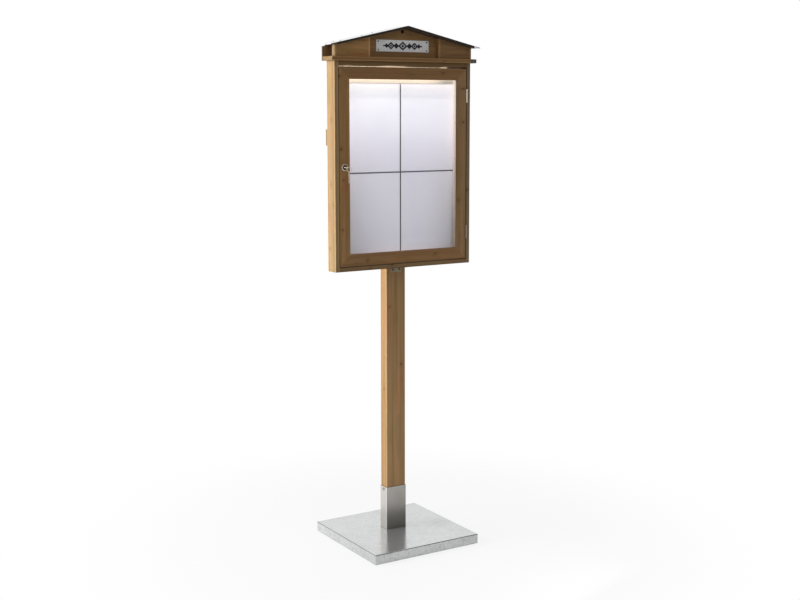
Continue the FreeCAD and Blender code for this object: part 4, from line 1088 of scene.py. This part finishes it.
def stage_floor(stage):
    """A pale floor, nearly white to the camera, that keeps a soft shadow near the base."""
    start_clean()
    bpy.ops.mesh.primitive_plane_add(size=stage.floor_width)
    floor = bpy.context.object
    floor.name = "floor"
    finish = Finish("pale_floor")
    x, y, _ = finish.parts(finish.place)
    radius = finish.distance(x, y)
    away = finish.ranged(radius, 0.45, 1.3, stage.floor_white, 1.0)
    near = finish.ranged(radius, 0.26, 0.40, 0.62, 0.0)
    camera, glossy, through = (
        finish.node("ShaderNodeLightPath", {}, {}, ray)
        for ray in ("Is Camera Ray", "Is Glossy Ray", "Is Transmission Ray")
    )
    # Metal and glass mirror the floor as white on the backdrop's side, and partly so close to the base.
    reach = finish.maths("MAXIMUM", backdrop_side(finish, x, y, -0.3, 0.2), near)
    mirrored = finish.maths("MAXIMUM", glossy, through) * reach
    seen = finish.maths("MAXIMUM", camera, mirrored) * away
    paper = finish.node(
        "ShaderNodeBsdfPrincipled", {}, {"Base Color": solid(stage.floor_colour[:]), "Roughness": 0.8}
    )
    white = finish.node("ShaderNodeEmission", {}, {"Color": WHITE, "Strength": 1.0})
    finish.closed(finish.node("ShaderNodeMixShader", {}, {0: seen, 1: paper, 2: white}))
    floor.data.materials.append(finish.material)


def studio_world(stage):
    """A white sweep behind and to the left, and a dim studio in front. The camera sees white all round."""
    world = bpy.data.worlds.new("studio")
    world.use_nodes = True
    bpy.context.scene.world = world
    nodes = Nodes(world.node_tree)
    x, y, _ = nodes.parts(nodes.node("ShaderNodeTexCoord", {}, {}, "Generated"))
    level = backdrop_side(nodes, x, y, -0.45, 0.25) * (1 - stage.front_level) + stage.front_level
    seen = nodes.node("ShaderNodeLightPath", {}, {}, "Is Camera Ray")
    strength = nodes.maths("MAXIMUM", level, seen)
    background = nodes.node("ShaderNodeBackground", {}, {"Color": WHITE, "Strength": strength})
    nodes.node("ShaderNodeOutputWorld", {}, {"Surface": background})


def photo_camera(stage):
    """The camera at the photograph's viewing angle."""
    yaw, pitch, roll = stage.camera_yaw, stage.camera_pitch, stage.camera_roll
    ahead = Vector((math.sin(yaw) * math.cos(pitch), math.cos(yaw) * math.cos(pitch), -math.sin(pitch)))
    right = Vector((math.cos(yaw), -math.sin(yaw), 0))
    up = right.cross(ahead)
    rolled_right = math.cos(roll) * right + math.sin(roll) * up
    rolled_up = math.cos(roll) * up - math.sin(roll) * right
    camera = bpy.data.objects.new("camera", bpy.data.cameras.new("camera"))
    bpy.context.collection.objects.link(camera)
    turn = Matrix((rolled_right, rolled_up, -ahead)).transposed()
    camera.matrix_world = Matrix.Translation(Vector(stage.camera_place)) @ turn.to_4x4()
    camera.data.sensor_width = 36
    camera.data.lens = stage.camera_lens
    camera.data.shift_y = stage.camera_shift
    camera.data.clip_end = 100
    bpy.context.scene.camera = camera


class NOTICE_OT_stage(Operator):
    """Floor, white sweep, soft lamps and the camera"""

    bl_idname = "notice.stage"
    bl_label = "Stage"

    def execute(self, context):
        stage = settings().stage
        stage_floor(stage)
        studio_world(stage)
        for name, place, aim, width, height, power in (
            ("key_lamp", (-3.4, 1.0, 1.5), (0, 0.1, 1.0), 2.2, 2.6, stage.key_power),
            ("fill_lamp", (0.3, -2.7, 3.4), (0, 0, 0.9), 2.0, 1.6, stage.fill_power),
            ("low_lamp", (0.25, -0.78, 0.26), (0, 0, 0.30), 0.5, 0.4, stage.low_power),
        ):
            soft_lamp(name, place, aim, width, height, power)
        photo_camera(stage)
        bpy.context.scene.view_settings.view_transform = "Standard"
        return {"FINISHED"}


OPERATORS = (
    NOTICE_OT_timber, NOTICE_OT_metal, NOTICE_OT_plastic, NOTICE_OT_sheets, NOTICE_OT_glass,
    NOTICE_OT_light_strip, NOTICE_OT_keys, NOTICE_OT_key_ring, NOTICE_OT_ornament, NOTICE_OT_stage,
)


class NOTICE_PT_sidebar(Panel):
    """The steps that finish the notice case, and their settings"""

    bl_idname = "NOTICE_PT_sidebar"
    bl_label = "Notice Case"
    bl_space_type = "VIEW_3D"
    bl_region_type = "UI"
    bl_category = "Notice Case"

    def draw(self, context):
        for step in OPERATORS:
            self.layout.operator(step.bl_idname)
        groups = context.scene.notice_case
        for name in ("timber", "metal", "strip", "small", "stage"):
            group = getattr(groups, name)
            box = self.layout.box()
            box.label(text=name.capitalize())
            for field in group.__annotations__:
                box.prop(group, field)


CLASSES = (
    TimberSettings, MetalSettings, LightStripSettings, SmallPieceSettings, StageSettings, NoticeCaseSettings,
    *OPERATORS, NOTICE_PT_sidebar,
)


def register():
    for kind in CLASSES:
        bpy.utils.register_class(kind)
    bpy.types.Scene.notice_case = PointerProperty(type=NoticeCaseSettings)


def unregister():
    del bpy.types.Scene.notice_case
    for kind in reversed(CLASSES):
        bpy.utils.unregister_class(kind)


def main():
    register()
    bpy.ops.notice.timber()
    bpy.ops.notice.metal()
    bpy.ops.notice.plastic()
    bpy.ops.notice.sheets()
    bpy.ops.notice.glass()
    bpy.ops.notice.light_strip()
    bpy.ops.notice.keys()
    bpy.ops.notice.key_ring()
    bpy.ops.notice.ornament()
    bpy.ops.notice.stage()


if __name__ == "__main__":
    main()
